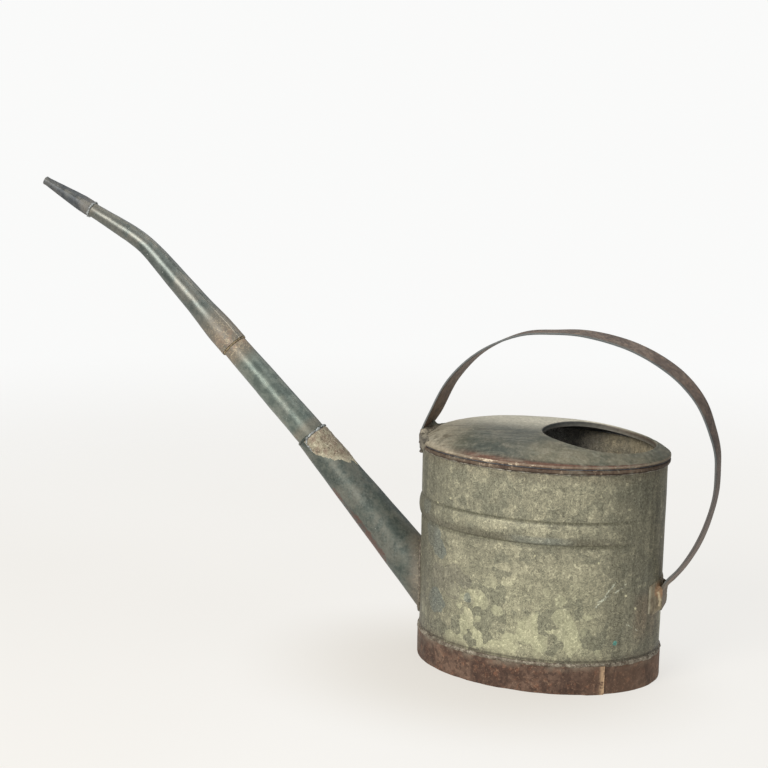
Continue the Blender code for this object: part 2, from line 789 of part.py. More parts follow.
def main():
    clear_scene()
    zinc = make_material("wall_zinc", (0.19, 0.19, 0.13), 0.55, 0.55)
    lid_zinc = make_material("cover_zinc", (0.14, 0.15, 0.12), 0.50, 0.55)
    rust = make_material("foot_rust", (0.085, 0.040, 0.026), 0.80, 0.25)
    iron = make_material("strap_iron", (0.10, 0.075, 0.060), 0.60, 0.45)
    pipe = make_material("spout_zinc", (0.095, 0.115, 0.105), 0.38, 0.65)
    neck = make_material("neck_zinc", (0.105, 0.110, 0.095), 0.40, 0.65)
    pan = make_material("base_zinc", (0.13, 0.12, 0.10), 0.70, 0.45)
    solder = make_material("grey_solder", (0.27, 0.25, 0.21), 0.55, 0.60)
    tan = make_material("tan_solder", (0.30, 0.22, 0.13), 0.60, 0.45)
    items = [
        make_wall(zinc),
        make_base(pan),
        make_foot(rust),
        make_foot_solder(solder),
        make_cover(lid_zinc),
        make_cone(pipe),
        make_tube(pipe),
        make_neck(neck),
        make_nozzle(neck),
        make_root_solder(solder),
        make_strap(iron),
        make_mound(solder),
        make_patch(tan),
    ]
    items.append(solder_ring("lower_joint_solder", cone_end(), CONE_ANGLE, 1.0,
                             tube_foot_radius(), CONE_TOP_RADIUS, solder))
    items.append(solder_ring("upper_joint_solder", tube_end(), TUBE_ANGLE, -1.0,
                             tube_top_radius(), NECK_FOOT_RADIUS - 0.0004, tan))
    items.append(solder_ring("nozzle_solder", nozzle_foot(), NOZZLE_ANGLE, -1.0,
                             neck_radius(NECK_LENGTH - 0.004), NOZZLE_FOOT_RADIUS, solder))
    settle(items)


main()
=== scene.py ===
"""Weathered oval watering can: fine shape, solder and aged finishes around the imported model."""

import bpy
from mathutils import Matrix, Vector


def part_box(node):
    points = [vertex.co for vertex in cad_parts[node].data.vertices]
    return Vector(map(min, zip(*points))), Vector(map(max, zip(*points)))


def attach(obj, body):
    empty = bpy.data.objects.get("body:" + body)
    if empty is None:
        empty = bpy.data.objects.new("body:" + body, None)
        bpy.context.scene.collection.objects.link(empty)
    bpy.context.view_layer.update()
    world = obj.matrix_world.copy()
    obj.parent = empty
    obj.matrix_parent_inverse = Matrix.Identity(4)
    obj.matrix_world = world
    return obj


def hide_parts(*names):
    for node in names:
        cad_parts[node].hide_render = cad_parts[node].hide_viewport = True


bl_info = {
    "name": "Weathered Watering Can",
    "version": (1, 0, 0),
    "blender": (4, 5, 0),
    "location": "View3D > Sidebar > Watering Can",
    "description": "Dresses an oval watering can in aged zinc, rust and solder",
    "category": "Object",
}

from functools import reduce
from math import atan2, cos, exp, hypot, pi, radians, sin, sqrt, tan, tau

import bpy
from bpy.props import FloatProperty, FloatVectorProperty, IntProperty
from mathutils import Matrix, Vector, noise

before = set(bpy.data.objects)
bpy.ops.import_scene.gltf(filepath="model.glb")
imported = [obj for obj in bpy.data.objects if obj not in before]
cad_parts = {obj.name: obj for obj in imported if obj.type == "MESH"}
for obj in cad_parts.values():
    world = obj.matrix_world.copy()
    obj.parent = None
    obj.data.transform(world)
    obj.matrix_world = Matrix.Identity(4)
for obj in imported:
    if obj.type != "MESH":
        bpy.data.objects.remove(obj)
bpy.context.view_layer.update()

# Body middle in the row frame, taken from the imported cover
COVER_LOW, COVER_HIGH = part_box("cover")
MIDDLE_X = (COVER_LOW.x + COVER_HIGH.x) / 2.0

# Sheet and fits, as in the solids
SHEET = 0.0009
GAP = 0.0003
HEM_OUTER = 0.0028
RIM_BOTTOM_Z = COVER_LOW.z
RIM_TOP_Z = RIM_BOTTOM_Z + 0.0080
WALL_FOOT_Z = 0.0080
BEAD_MIDDLE_Z = 0.1610
BEAD_HEIGHT = 0.0225
BEAD_FADE = (radians(14.0), radians(46.0))
GROOVE_DEPTH = 0.38
GROOVE_WIDTH = 0.0015
FOOT_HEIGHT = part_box("foot_ring")[1].z
FOOT_SHEET = 0.0014
LAP_ANGLE = radians(-48.0)
LAP_LENGTH = 0.014

# Cover and its round mouth
DOME_RISE = 0.0180
DOME_POWER = 5.2
MOUTH_RADIUS = 0.0560
MOUTH_OFFSET = 0.0560
MOUTH_ROLL = 0.0022
MOUTH_LIP = 0.0036

# Spout, in the middle plane
SPOUT_ROOT_Z = 0.0775
CONE_ANGLE = radians(47.0)
CONE_LENGTH = 0.1870
CONE_ROOT_RADIUS = 0.0252
CONE_TOP_RADIUS = 0.0172
TUBE_ANGLE = radians(44.7)
TUBE_LENGTH = 0.1300
NECK_FOOT_RADIUS = 0.0153
NECK_WAIST_RADIUS = 0.0126
NECK_TOP_RADIUS = 0.0077
NECK_LENGTH = 0.2220
NECK_BEND_AT = 0.1500
NECK_BEND_LENGTH = 0.0560
NOZZLE_ANGLE = radians(27.0)
NOZZLE_MOUTH_RADIUS = 0.0046
NOZZLE_LENGTH = 0.0645
SLEEVE_DEPTH = 0.0130
NECK_FIT = 0.0005

# Handle strap: share of the span, share of the rise, twist in degrees
STRAP_WIDTH = 0.0280
STRAP_THICKNESS = 0.0022
HANDLE_RISE = 0.1150
HANDLE_REACH = 0.0492
FRONT_LEG_BELOW_RIM = 0.0055
LEG_LET_IN = 0.0028
HEEL_TOP_Z = 0.0975
HEEL_LENGTH = 0.0220
PATCH_SHEET = 0.0012
ARCH = (
    (0.000, 0.010, -1.0), (0.038, 0.212, -10.0), (0.096, 0.509, -8.0), (0.194, 0.778, -3.0),
    (0.331, 0.958, -1.0), (0.443, 0.996, -1.0), (0.553, 1.000, 3.0), (0.713, 0.910, 7.0),
    (0.853, 0.714, 9.0), (0.934, 0.490, 7.5), (0.977, 0.242, 3.5), (0.996, 0.064, 1.5),
)
REAR_LEG = (
    (1.000, 0.080, 1.0), (0.989, 0.251, 1.5), (0.873, 0.450, 4.0),
    (0.672, 0.654, 7.5), (0.380, 0.841, 10.0), (0.130, 0.955, 12.0),
)

# Camera fitted to the photograph, relative to the body's middle
CAMERA_PLACE = Vector((0.36195, -1.47130, 0.57729))
CAMERA_AZIMUTH = 0.3484
CAMERA_PITCH = 0.1895
CAMERA_ROLL = 0.0166
CAMERA_LENS = 71.79


class CanSizes(bpy.types.PropertyGroup):
    half_length: FloatProperty(
        name="Body half length", description="Half of the oval body's length",
        default=(COVER_HIGH.x - COVER_LOW.x) / 2.0 - HEM_OUTER, unit="LENGTH")
    half_width: FloatProperty(
        name="Body half width", description="Half of the oval body's width",
        default=(COVER_HIGH.y - COVER_LOW.y) / 2.0 - HEM_OUTER, unit="LENGTH")
    bead_reach: FloatProperty(
        name="Bead reach", description="How far the rolled bead stands out of the wall",
        default=0.0024, unit="LENGTH")
    dent_depth: FloatProperty(
        name="Dent depth", description="Depth of the soft dents in the sheet",
        default=0.00055, unit="LENGTH")
    solder_lumps: FloatProperty(
        name="Solder lumps", description="Unevenness of the solder beads as a share of their size",
        default=0.55, min=0.0, max=1.0, subtype="FACTOR")
    seed: IntProperty(name="Seed", description="Seed of the solder's random lumps", default=7)


class CanColours(bpy.types.PropertyGroup):
    patina: FloatVectorProperty(
        name="Patina", description="Olive grey of the aged zinc wall",
        size=3, subtype="COLOR", default=(0.312, 0.292, 0.198))
    pale_patina: FloatVectorProperty(
        name="Pale patina", description="Yellow green patches on the wall",
        size=3, subtype="COLOR", default=(0.490, 0.480, 0.300))
    dark_patina: FloatVectorProperty(
        name="Dark patina", description="Darker grey green of the wall",
        size=3, subtype="COLOR", default=(0.205, 0.194, 0.132))


def sizes():
    return bpy.context.scene.can_sizes


def colours():
    return bpy.context.scene.can_colours


# Shader building

class Signal:
    """One output socket in a shader tree, on which plain arithmetic adds Math nodes."""

    def __init__(self, shade, socket):
        self.shade = shade
        self.socket = socket

    def math(self, operation, *others, clamp=False):
        settings = {"operation": operation, "use_clamp": clamp}
        values = dict(enumerate((self,) + others))
        return self.shade.add("ShaderNodeMath", settings, values)

    def __add__(self, other):
        return self.math("ADD", other)

    __radd__ = __add__

    def __mul__(self, other):
        return self.math("MULTIPLY", other)

    __rmul__ = __mul__

    def __sub__(self, other):
        return self.math("SUBTRACT", other)

    def __rsub__(self, other):
        return (self * -1.0) + other

    def absolute(self):
        return self.math("ABSOLUTE")

    def largest(self, other):
        return self.math("MAXIMUM", other)

    def held(self):
        """The value kept between 0 and 1."""
        return self.math("ADD", 0.0, clamp=True)

    def step(self, low, high):
        """Smooth step from 0 at low to 1 at high; low may be the larger."""
        flip = float(low > high)
        values = {0: self, 1: min(low, high), 2: max(low, high), 3: flip, 4: 1.0 - flip}
        return self.shade.add("ShaderNodeMapRange", {"interpolation_type": "SMOOTHSTEP"}, values)

    def between(self, low, full, last, high):
        """1 from full to last, fading to 0 at low and at high."""
        return self.step(low, full) * self.step(high, last)

    def near(self, middle, far, close):
        """1 this close to the middle value, fading to 0 this far from it."""
        return (self - middle).absolute().step(far, close)


class Shade:
    """A material with one Principled shader and the means to add nodes to it."""

    def __init__(self, name):
        self.material = bpy.data.materials.new(name)
        self.material.use_nodes = True
        self.nodes = self.material.node_tree.nodes
        self.links = self.material.node_tree.links
        self.shader = self.nodes["Principled BSDF"]
        self.place = self.add("ShaderNodeTexCoord", {}, {}, "Object")
        self.colour = None

    def set_input(self, socket, value):
        if isinstance(value, Signal):
            self.links.new(value.socket, socket)
        elif hasattr(value, "__len__") and len(value) == 3 and len(socket.default_value) == 4:
            socket.default_value = (*value, 1.0)
        else:
            socket.default_value = value

    def add(self, kind, settings, values, output=0):
        """A node of this kind: its settings first, then its sockets' values or links."""
        node = self.nodes.new(kind)
        for name, value in settings.items():
            setattr(node, name, value)
        for key, value in values.items():
            self.set_input(node.inputs[key], value)
        return Signal(self, node.outputs[output])

    def noise(self, scale, detail=3.0, rough=0.55, distort=0.0, place=None):
        values = {"Vector": place or self.place, "Scale": scale, "Detail": detail}
        values.update({"Roughness": rough, "Distortion": distort})
        return self.add("ShaderNodeTexNoise", {}, values, "Fac")

    def cells(self, scale, place=None, output="Distance"):
        values = {"Vector": place or self.place, "Scale": scale}
        return self.add("ShaderNodeTexVoronoi", {}, values, output)

    def cell_value(self, scale, place=None):
        """One random number for each cell."""
        colour = self.cells(scale, place, output="Color")
        return self.add("ShaderNodeSeparateColor", {}, {0: colour}, 0)

    def specks(self, scale, size, rarity):
        """Round specks in the few cells whose number is over the rarity."""
        chosen = (self.cell_value(scale) - rarity).step(0.0, 0.02)
        return self.cells(scale).step(size, size * 0.5) * chosen

    def stretched(self, scale_x, scale_y, scale_z):
        values = {"Vector": self.place, "Scale": (scale_x, scale_y, scale_z)}
        return self.add("ShaderNodeMapping", {}, values)

    def ragged(self, amount, scale, detail=3.0):
        """Place shifted by noise, so that patterns on it get ragged edges."""
        values = {"Vector": self.place, "Scale": scale, "Detail": detail}
        shift = self.add("ShaderNodeTexNoise", {}, values, "Color")
        centred = self.vector("SUBTRACT", shift, (0.5, 0.5, 0.5))
        return self.vector("MULTIPLY_ADD", centred, (amount,) * 3, self.place)

    def vector(self, operation, *values, output=0):
        return self.add("ShaderNodeVectorMath", {"operation": operation},
                        dict(enumerate(values)), output)

    def axes(self):
        """Place along the can from the body's middle, across it, and up."""
        split = self.nodes.new("ShaderNodeSeparateXYZ")
        self.links.new(self.place.socket, split.inputs[0])
        x, y, z = [Signal(self, socket) for socket in split.outputs]
        return x - MIDDLE_X, y, z

    def mix(self, share, first, second, blend="MIX"):
        settings = {"data_type": "RGBA", "blend_type": blend, "clamp_factor": True}
        return self.add("ShaderNodeMix", settings, {0: share, 6: first, 7: second}, 2)

    def attribute(self, name):
        return self.add("ShaderNodeAttribute", {"attribute_name": name}, {}, "Fac")

    def spot(self, centre, radius, place=None, soft=0.25):
        """1 within this distance of a point on the can, with an edge this soft."""
        away = self.vector("DISTANCE", place or self.place, tuple(centre), output="Value")
        return away.step(radius * (1.0 + soft), radius * (1.0 - soft))

    def stroke(self, start, end, width, place=None):
        """1 on a scratch from start to end."""
        start = Vector(start)
        way = Vector(end) - start
        rel = self.vector("SUBTRACT", place or self.place, tuple(start))
        along = self.vector("DOT_PRODUCT", rel, tuple(way / way.length_squared), output="Value")
        foot = self.vector("SCALE", tuple(way))
        self.links.new(along.held().socket, foot.socket.node.inputs["Scale"])
        away = self.vector("DISTANCE", rel, foot, output="Value")
        return away.step(width, width * 0.35)

    def over(self, share, paint):
        """Lay a colour over what is there, by a share that may change from place to place."""
        self.colour = self.mix(share, self.colour, paint)

    def coat(self, share, red, green, blue):
        """Lay a colour over what is there, given in the 0 to 255 numbers of a picture."""
        self.over(share, tint(red, green, blue))

    def grain(self, fine=900.0, coarse=260.0, depth=1.0):
        """Fine speckle of aged metal, about 1 on average."""
        small = self.noise(fine, 2.0, 0.6)
        large = self.noise(coarse, 4.0, 0.66)
        return 1.0 + (small - 0.5) * (0.5 * depth) + (large - 0.5) * (1.3 * depth)

    def shaded(self, light):
        """Multiply the colour by a number."""
        grey = self.add("ShaderNodeCombineColor", {}, dict.fromkeys(range(3), light))
        self.colour = self.mix(1.0, self.colour, grey, "MULTIPLY")

    def finish(self, rough, metallic, height, strength, distance):
        """Connect the colour, the sheen and the fine relief to the shader."""
        relief = {"Height": height, "Strength": strength, "Distance": distance}
        values = {"Base Color": self.colour, "Roughness": rough, "Metallic": metallic,
                  "Normal": self.add("ShaderNodeBump", {}, relief)}
        for name, value in values.items():
            self.set_input(self.shader.inputs[name], value)
        return self.material


def tint(red, green, blue):
    """Linear colour from the 0 to 255 numbers that a picture shows."""
    def linear(value):
        share = value / 255.0
        return share / 12.92 if share <= 0.04045 else ((share + 0.055) / 1.055) ** 2.4
    return (linear(red), linear(green), linear(blue))


def at(x, y, z):
    """A point given from the body's middle, in the row frame."""
    return Vector((MIDDLE_X + x, y, z))


# Finishes

# Marks seen on the wall, from the body's middle, with their reach, in millimetres
PALE_PATCHES = (
    (42, -82, 94, 7), (44, -82, 76, 9), (-5, -87, 48, 9), (10, -87, 57, 10), (25, -85, 50, 8),
    (-65, -75, 131, 7), (-57, -78, 122, 6), (-72, -71, 141, 6), (-36, -84, 84, 7),
    (-19, -86, 79, 6), (-62, -76, 73, 3.5), (-51, -80, 70, 4), (-41, -82, 64, 4),
)
DARK_PATCHES = (
    (0, -87, 78, 3.5), (10, -87, 80.5, 4), (20, -86, 83, 4), (45, -81, 61, 8), (66, -74, 58, 7),
    (59, -77, 95, 5), (60, -76, 82, 6), (-30, -85, 105, 5), (-84, -64, 43, 10),
)
BLUE_PATCHES = (
    (-97, -55, 139, 13), (-88, -62, 126, 10), (-51, -79, 84, 5), (-91, -60, 70, 13),
    (-105, -47, 165, 10),
)
GREY_PATCHES = ((-86, -63, 98, 13), (-67, -73, 106, 11), (-54, -79, 101, 7), (-70, -72, 90, 10))


def patches(s, table, place):
    """1 on any of the patches in a table."""
    return reduce(Signal.largest, [
        s.spot(at(x / 1000.0, y / 1000.0, z / 1000.0), reach / 1000.0, place, 0.08)
        for x, y, z, reach in table])


def wall_zinc():
    """Mottled olive zinc with wormy marks and ragged patches, bluish at the spout end."""
    s = Shade("aged_zinc_wall")
    palette = colours()
    side, y, z = s.axes()
    ragged = s.ragged(0.014, 75.0, 3.0)
    torn = s.ragged(0.015, 62.0, 3.0)
    finer = s.ragged(0.007, 170.0, 3.0)
    islands = s.cell_value(64.0, ragged)
    flakes = s.cell_value(150.0, finer)
    broad = s.noise(14.0, 3.0, 0.5)
    middle = s.noise(58.0, 6.0, 0.74)
    worms = s.noise(185.0, 2.0, 0.5, 2.8)
    low_zone = z.step(0.150, 0.060)
    front = side.between(-0.085, -0.045, 0.060, 0.100)
    mottle = (flakes - 0.5) * 0.46 + (middle - 0.5) * 1.7 + (broad - 0.5) * 1.3 + 0.50
    s.colour = s.mix(mottle.held(), tuple(palette.dark_patina), tuple(palette.patina))
    chance = 0.10 + low_zone * front * 0.20 + (broad - 0.5) * 1.4
    pale = (chance - islands).step(-0.03, 0.03).largest(patches(s, PALE_PATCHES, torn))
    dull = (islands + (0.5 - broad) * 0.8 - 0.66).step(-0.03, 0.05)
    dull = dull.largest(patches(s, DARK_PATCHES, torn)) * (1.0 - pale * 0.6)
    green = s.mix(z.step(0.125, 0.085), tint(176, 170, 142), tuple(palette.pale_patina))
    s.over(low_zone * front * 0.22, tuple(palette.pale_patina))
    s.over(pale * (0.24 + low_zone * 0.20) * (0.6 + middle * 0.8), green)
    s.coat(dull * (0.38 + low_zone * 0.16), 104, 104, 88)
    # Darker over the left half, towards the spout: partly darker patina, partly painted shade.
    s.coat(side.step(0.000, -0.100) * 0.26, 92, 92, 78)
    flecks = (flakes - 0.80).step(0.0, 0.03) * (middle - 0.40).step(0.0, 0.15)
    s.coat(flecks * 0.26, 184, 178, 150)
    s.coat(patches(s, GREY_PATCHES, torn) * 0.55, 112, 108, 94)
    blue = patches(s, BLUE_PATCHES, torn) * (0.35 + broad * 0.7)
    s.coat(blue * 0.80, 94, 105, 103)
    rise = z - BEAD_MIDDLE_Z
    # Painted highlight along the upper half of the bead, brighter on the front where the key light
    # falls.
    crest = rise.between(0.0, 0.0060, 0.0090, 0.0125) * side.step(0.118, 0.090)
    lit = side.between(-0.100, -0.060, -0.010, 0.030)
    s.coat(crest * (0.05 + middle) * (0.14 + lit * 0.30), 178, 172, 142)
    # Painted shade on the lower half of the bead, a cooler grey in a stretch near the middle of
    # the can.
    bead_underside_shade = rise.between(-0.0118, -0.0102, -0.0048, -0.0008) * side.step(0.110, 0.060)
    cool = side.between(-0.020, 0.020, 0.030, 0.060)
    shadow = s.mix(cool, tint(92, 88, 72), tint(122, 128, 122))
    s.over(bead_underside_shade * (0.4 + middle) * (0.72 - cool * 0.25), shadow)
    # Painted shade in the grooves above and below the bead, fading out towards the rear.
    groove = rise.near(0.0112, 0.0024, 0.0006).largest(rise.near(-0.0120, 0.0034, 0.0006))
    fade = side.step(0.116, 0.085)
    s.coat(groove * fade * (0.4 + middle * 0.6) * 0.80, 80, 78, 60)
    heel_stain = side.step(0.104, 0.113) * z.between(0.036, 0.070, 0.088, 0.106)
    heel_stain = heel_stain * y.step(0.0, -0.010)
    s.coat(heel_stain * (0.3 + middle) * 0.70, 124, 100, 78)
    runs = s.noise(26.0, 5.0, 0.65, 0.3, s.stretched(2.6, 2.6, 0.14))
    ends = side.absolute().step(0.064, 0.116)
    s.coat((runs - 0.42).step(0.0, 0.16) * ends * 0.60, 84, 82, 64)
    # Painted shade where the wall turns away at both ends, heavier at the spout end.
    s.coat(ends * (0.30 + side.step(-0.06, -0.11) * 0.28), 100, 97, 84)
    rim_dirt = z.step(0.206, 0.221) * (middle - 0.30).step(0.0, 0.35)
    foot_dirt = z.step(0.044, 0.0335) * (middle - 0.30).step(0.0, 0.35)
    s.coat(rim_dirt * 0.55, 108, 98, 78)
    s.coat(foot_dirt * 0.62, 96, 88, 74)
    # Painted shade: a dark line on the wall just above the foot's solder bead.
    seam = z.near(FOOT_HEIGHT + 0.0042, 0.0018, 0.0004)
    s.coat(seam * (0.3 + middle) * 0.75, 64, 56, 46)
    s.coat(s.specks(120.0, 0.20, 0.93) * 0.7, 214, 208, 170)
    s.coat(scratch_marks(s) * 0.80, 206, 208, 186)
    paint = s.spot(at(0.0929, -0.0583, 0.0515), 0.0022, s.ragged(0.006, 420.0))
    s.coat(paint * 0.60, 74, 168, 156)
    # Painted light: the inside of the wall is painted pale, near white and bluish towards the
    # spout end and tan towards the rear, to lighten its shade as seen through the mouth, with
    # darker stained patches.
    rear = side.step(-0.070, 0.060)
    zinc = s.mix(rear, tint(206, 212, 222), tint(156, 144, 118))
    stained = s.mix(rear, tint(176, 180, 186), tint(118, 112, 96))
    s.over(s.attribute("inside") * 0.90, s.mix(middle.step(0.35, 0.65), zinc, stained))
    lines = worms.near(0.5, 0.050, 0.004)
    crests = (worms - 0.565).step(0.0, 0.06)
    brushed = s.noise(520.0, 2.0, 0.6, 0.0, s.stretched(1.0, 1.0, 0.16))
    quiet = 1.0 - pale * low_zone * 0.55
    marks = 1.16 - lines * 0.60 * quiet + crests * 0.34 + (brushed - 0.5) * 0.5
    s.shaded(s.grain() * marks)
    height = middle * 0.4 + worms * 0.35 + pale * 0.05
    rough = 0.50 + middle * 0.20 - pale * 0.05
    return s.finish(rough, 0.20 + flakes * 0.15, height, 0.55, 0.0010)


# Scratches low on the front of the wall: start, end and width
SCRATCHES = (
    ((0.0745, -0.0702, 0.0890), (0.0905, -0.0598, 0.1120), 0.0011),
    ((0.0800, -0.0669, 0.0950), (0.1000, -0.0523, 0.1100), 0.0009),
    ((0.0770, -0.0686, 0.0930), (0.0835, -0.0648, 0.0985), 0.0022),
    ((0.1014, -0.0510, 0.0697), (0.1114, -0.0395, 0.0601), 0.0007),
)


def scratch_marks(s):
    """Pale scuffs low on the front of the wall."""
    torn = s.ragged(0.004, 260.0, 2.0)
    marks = [s.stroke(at(*start), at(*end), width, torn) for start, end, width in SCRATCHES]
    return reduce(Signal.largest, marks) * s.noise(700.0, 2.0).step(0.36, 0.60)


def cover_zinc():
    """Dark brushed zinc, dusty in patches, with a painted pale sheen at the back, rusting along
    its front edge.
    """
    s = Shade("aged_zinc_cover")
    side, y, z = s.axes()
    middle = s.noise(45.0, 5.0, 0.68)
    fine = s.noise(210.0, 4.0, 0.68)
    broad = s.noise(14.0, 3.0, 0.5)
    rim = s.attribute("rim")
    tone = (middle + (broad - 0.5) * 0.5).step(0.36, 0.68)
    s.colour = s.mix(tone, tint(88, 89, 76), tint(122, 117, 99))
    blue = side.between(-0.072, -0.045, -0.010, 0.020) * y.step(0.020, -0.015)
    s.coat(blue * (0.3 + broad * 0.7) * 0.62, 76, 83, 82)
    # Painted sheen: the far half of the cover is painted pale where it would reflect the bright
    # backdrop.
    back = y.step(-0.036, 0.026) * (0.80 + broad * 0.5) * side.step(0.10, 0.03)
    s.coat(back * 0.92, 198, 192, 173)
    front = y.step(-0.012, -0.045) * side.between(-0.085, -0.040, 0.098, 0.118)
    ring = rim.step(0.76, 0.88) * (0.55 + middle * 0.6) * (1.0 - front * 0.85)
    sides = side.absolute().step(0.050, 0.105)
    s.coat(ring * (0.50 + sides * 0.50), 150, 137, 116)
    streaks = s.noise(130.0, 3.0, 0.6, 0.3, s.stretched(0.3, 1.0, 1.0))
    left = side.step(-0.062, -0.098) * (middle + streaks * 2.4 - 0.75).held()
    s.coat(left * 0.80, 178, 168, 146)
    dark_left = side.step(-0.070, -0.090) * (streaks - 0.47).step(0.0, -0.10)
    s.coat(dark_left * rim.step(0.92, 0.70) * 0.45, 98, 84, 64)
    patchy = (fine * 0.9 + middle * 0.9 + rim * 0.5).step(0.94, 1.30)
    stain = (rim.step(0.25, 0.70) * front * (0.5 + middle * 0.8)).held()
    s.coat(stain, 82, 72, 62)
    rusty = front * side.step(-0.078, -0.040)
    rust = (rim.step(0.52, 0.84) * (0.10 + rusty * 1.4) * patchy).held()
    s.coat(rust * 0.85, 104, 77, 65)
    top_edge = rim.step(0.955, 0.990)
    worn = s.mix(front * 0.6, tint(150, 140, 120), tint(122, 98, 82))
    s.over(top_edge * 0.80, worn)
    hem = (RIM_TOP_Z - z).step(0.0012, 0.0022) * rim.step(0.98, 0.995)
    band = s.mix(middle.step(0.40, 0.62), tint(76, 60, 50), tint(98, 83, 69))
    s.over(hem * 0.90, band)
    # Painted shade in the groove of the folded edge and along the fold's lower edge.
    groove = z.near(RIM_TOP_Z - 0.0033, 0.0011, 0.0004)
    groove = groove.largest((z - RIM_BOTTOM_Z).step(0.0012, 0.0003)) * rim.step(0.98, 0.995)
    s.coat(groove * 0.92, 46, 36, 30)
    drawn = s.noise(420.0, 3.0, 0.7, 0.0, s.stretched(0.5, 0.5, 1.0))
    chips = (drawn * 0.7 + middle * 0.5).step(0.64, 0.72)
    where = side.between(-0.080, -0.040, 0.030, 0.070) * y.step(0.0, -0.02)
    lip_line = top_edge * (RIM_TOP_Z - z).step(0.0034, 0.0016)
    s.coat(lip_line * chips * (0.30 + where * 0.60), 204, 188, 162)
    low_chips = hem * (s.noise(300.0, 3.0, 0.7) + middle * 0.4).step(0.80, 0.90)
    s.coat(low_chips * 0.55, 180, 160, 136)
    dusty = (s.noise(90.0, 5.0, 0.7) - 0.5).step(0.03, 0.18) * (1.0 - rust)
    s.coat(dusty * 0.22, 158, 152, 134)
    brushed = s.noise(170.0, 3.0, 0.6, 0.2, s.stretched(0.16, 1.0, 1.0))
    s.coat((brushed - 0.50).step(0.0, 0.14) * 0.30, 140, 138, 122)
    s.coat(s.specks(170.0, 0.14, 0.95) * 0.8, 206, 204, 186)
    lip_tone = s.mix(side.step(0.0, 0.095), tint(66, 72, 76), tint(96, 84, 72))
    s.over(s.attribute("lip") * 0.88, lip_tone)
    # Painted light: the cover's underside is painted pale bluish grey to lighten the shade inside
    # the mouth.
    s.coat(s.attribute("inside") * 0.80, 150, 154, 160)
    # Painted highlight on the lit edge of the mouth's lip.
    s.coat(s.attribute("lip_edge_highlight") * (0.3 + fine) * 0.7, 150, 148, 136)
    s.shaded(s.grain(1000.0, 330.0))
    height = middle * 0.35 + fine * 0.4 + brushed * 0.2 + rust * fine * 0.8
    s.shader.inputs["Specular IOR Level"].default_value = 0.20
    rough = 0.48 + rust * 0.10 + stain * 0.22 + fine * 0.15 + groove * 0.30
    metallic = (0.35 - stain * 0.25 - rust * 0.20 + groove * 0.60).held()
    return s.finish(rough, metallic, height, 0.40, 0.0008)


def rusty_iron(name, base, dark, bright):
    """Pitted brown iron with darker scabs and orange flecks."""
    s = Shade(name)
    broad = s.noise(30.0, 4.0, 0.6, 0.4)
    middle = s.noise(130.0, 4.0, 0.65, 0.6)
    fine = s.noise(520.0, 3.0, 0.65)
    s.colour = s.mix(broad.step(0.36, 0.64), base, dark)
    s.over(middle.step(0.52, 0.70) * 0.65, bright)
    scabs = (s.cell_value(260.0, s.ragged(0.003, 400.0)) - 0.62).step(0.0, 0.10)
    s.over(scabs * 0.55, tuple(c * 0.62 for c in dark))
    flecks = (fine + middle * 0.4 - 0.78).step(0.0, 0.08)
    s.coat(flecks * 0.45, 158, 130, 106)
    s.shaded(s.grain(1100.0, 300.0))
    return s, fine, middle * 0.5 + fine * 0.4 - scabs * 0.2


def foot_rust():
    """Rusted foot band with greyer stretches and a pale lap line."""
    s, fine, height = rusty_iron(
        "foot_rust", tint(116, 92, 76), tint(80, 58, 46), tint(134, 90, 66))
    side, _, z = s.axes()
    worn = z.step(0.020, 0.029) * s.noise(60.0, 4.0).step(0.42, 0.62)
    s.coat(worn * 0.6, 138, 126, 108)
    left = side.step(-0.070, -0.115) * s.noise(75.0, 3.0).step(0.40, 0.65)
    s.coat(left * 0.45, 116, 108, 94)
    s.coat(side.step(0.045, 0.105) * 0.35, 122, 96, 76)
    s.coat(s.attribute("lap") * s.noise(240.0).step(0.30, 0.5), 204, 172, 136)
    dark_runs = s.noise(60.0, 4.0, 0.7, 0.4, s.stretched(1.0, 1.0, 0.3)).step(0.50, 0.66)
    s.coat(dark_runs * 0.50, 62, 46, 38)
    return s.finish(0.72 + fine * 0.2, 0.15, height, 0.6, 0.0012)


def strap_iron():
    """Brown worn strap with long streaks and darker edges."""
    s, fine, height = rusty_iron(
        "strap_iron", tint(120, 103, 89), tint(89, 74, 63), tint(140, 113, 92))
    side, _, z = s.axes()
    edge = s.attribute("edge")
    mottle = s.noise(150.0, 4.0, 0.7).step(0.42, 0.62)
    # Painted light: the strap's inner face, in shade under the arch, is painted lighter and
    # mottled.
    s.coat(s.attribute("inner") * (0.15 + mottle * 0.45), 136, 114, 98)
    s.coat(edge * 0.85, 98, 105, 105)
    rubbed = s.noise(70.0, 4.0).step(0.52, 0.72) * (1.0 - edge)
    s.coat(rubbed * 0.30, 150, 134, 116)
    rear = side.step(0.12, 0.16) * z.step(0.26, 0.17)
    s.coat(rear * 0.45, 84, 66, 56)
    heel = side.step(0.119, 0.126) * z.step(0.106, 0.099)
    s.coat(heel * 0.55, 112, 96, 70)
    return s.finish(0.46 + fine * 0.25, 0.35, height, 0.45, 0.0008)


# Turns past the lapped seam where a light line and a dark one beside it run along a pipe
LAP_LINES = (0.0, 0.13, 0.27)

# Spout finishes: base, dark and pale colour, brown share, roughness, lines, warmth and grain
SPOUT_FINISHES = {
    "cone": ((100, 107, 98), (72, 79, 73), (136, 142, 132), 0.60, 0.42, (), 0.38, 0.55),
    "spout": ((122, 130, 120), (92, 101, 94), (152, 158, 148), 0.85, 0.30, (), 0.25, 0.55),
    "neck": ((108, 113, 107), (84, 90, 85), (134, 138, 132), 0.55, 0.30, LAP_LINES, 0.45, 0.60),
    "nozzle": ((100, 104, 104), (72, 75, 78), (128, 132, 132), 0.20, 0.48, LAP_LINES, 0.35, 0.60),
}


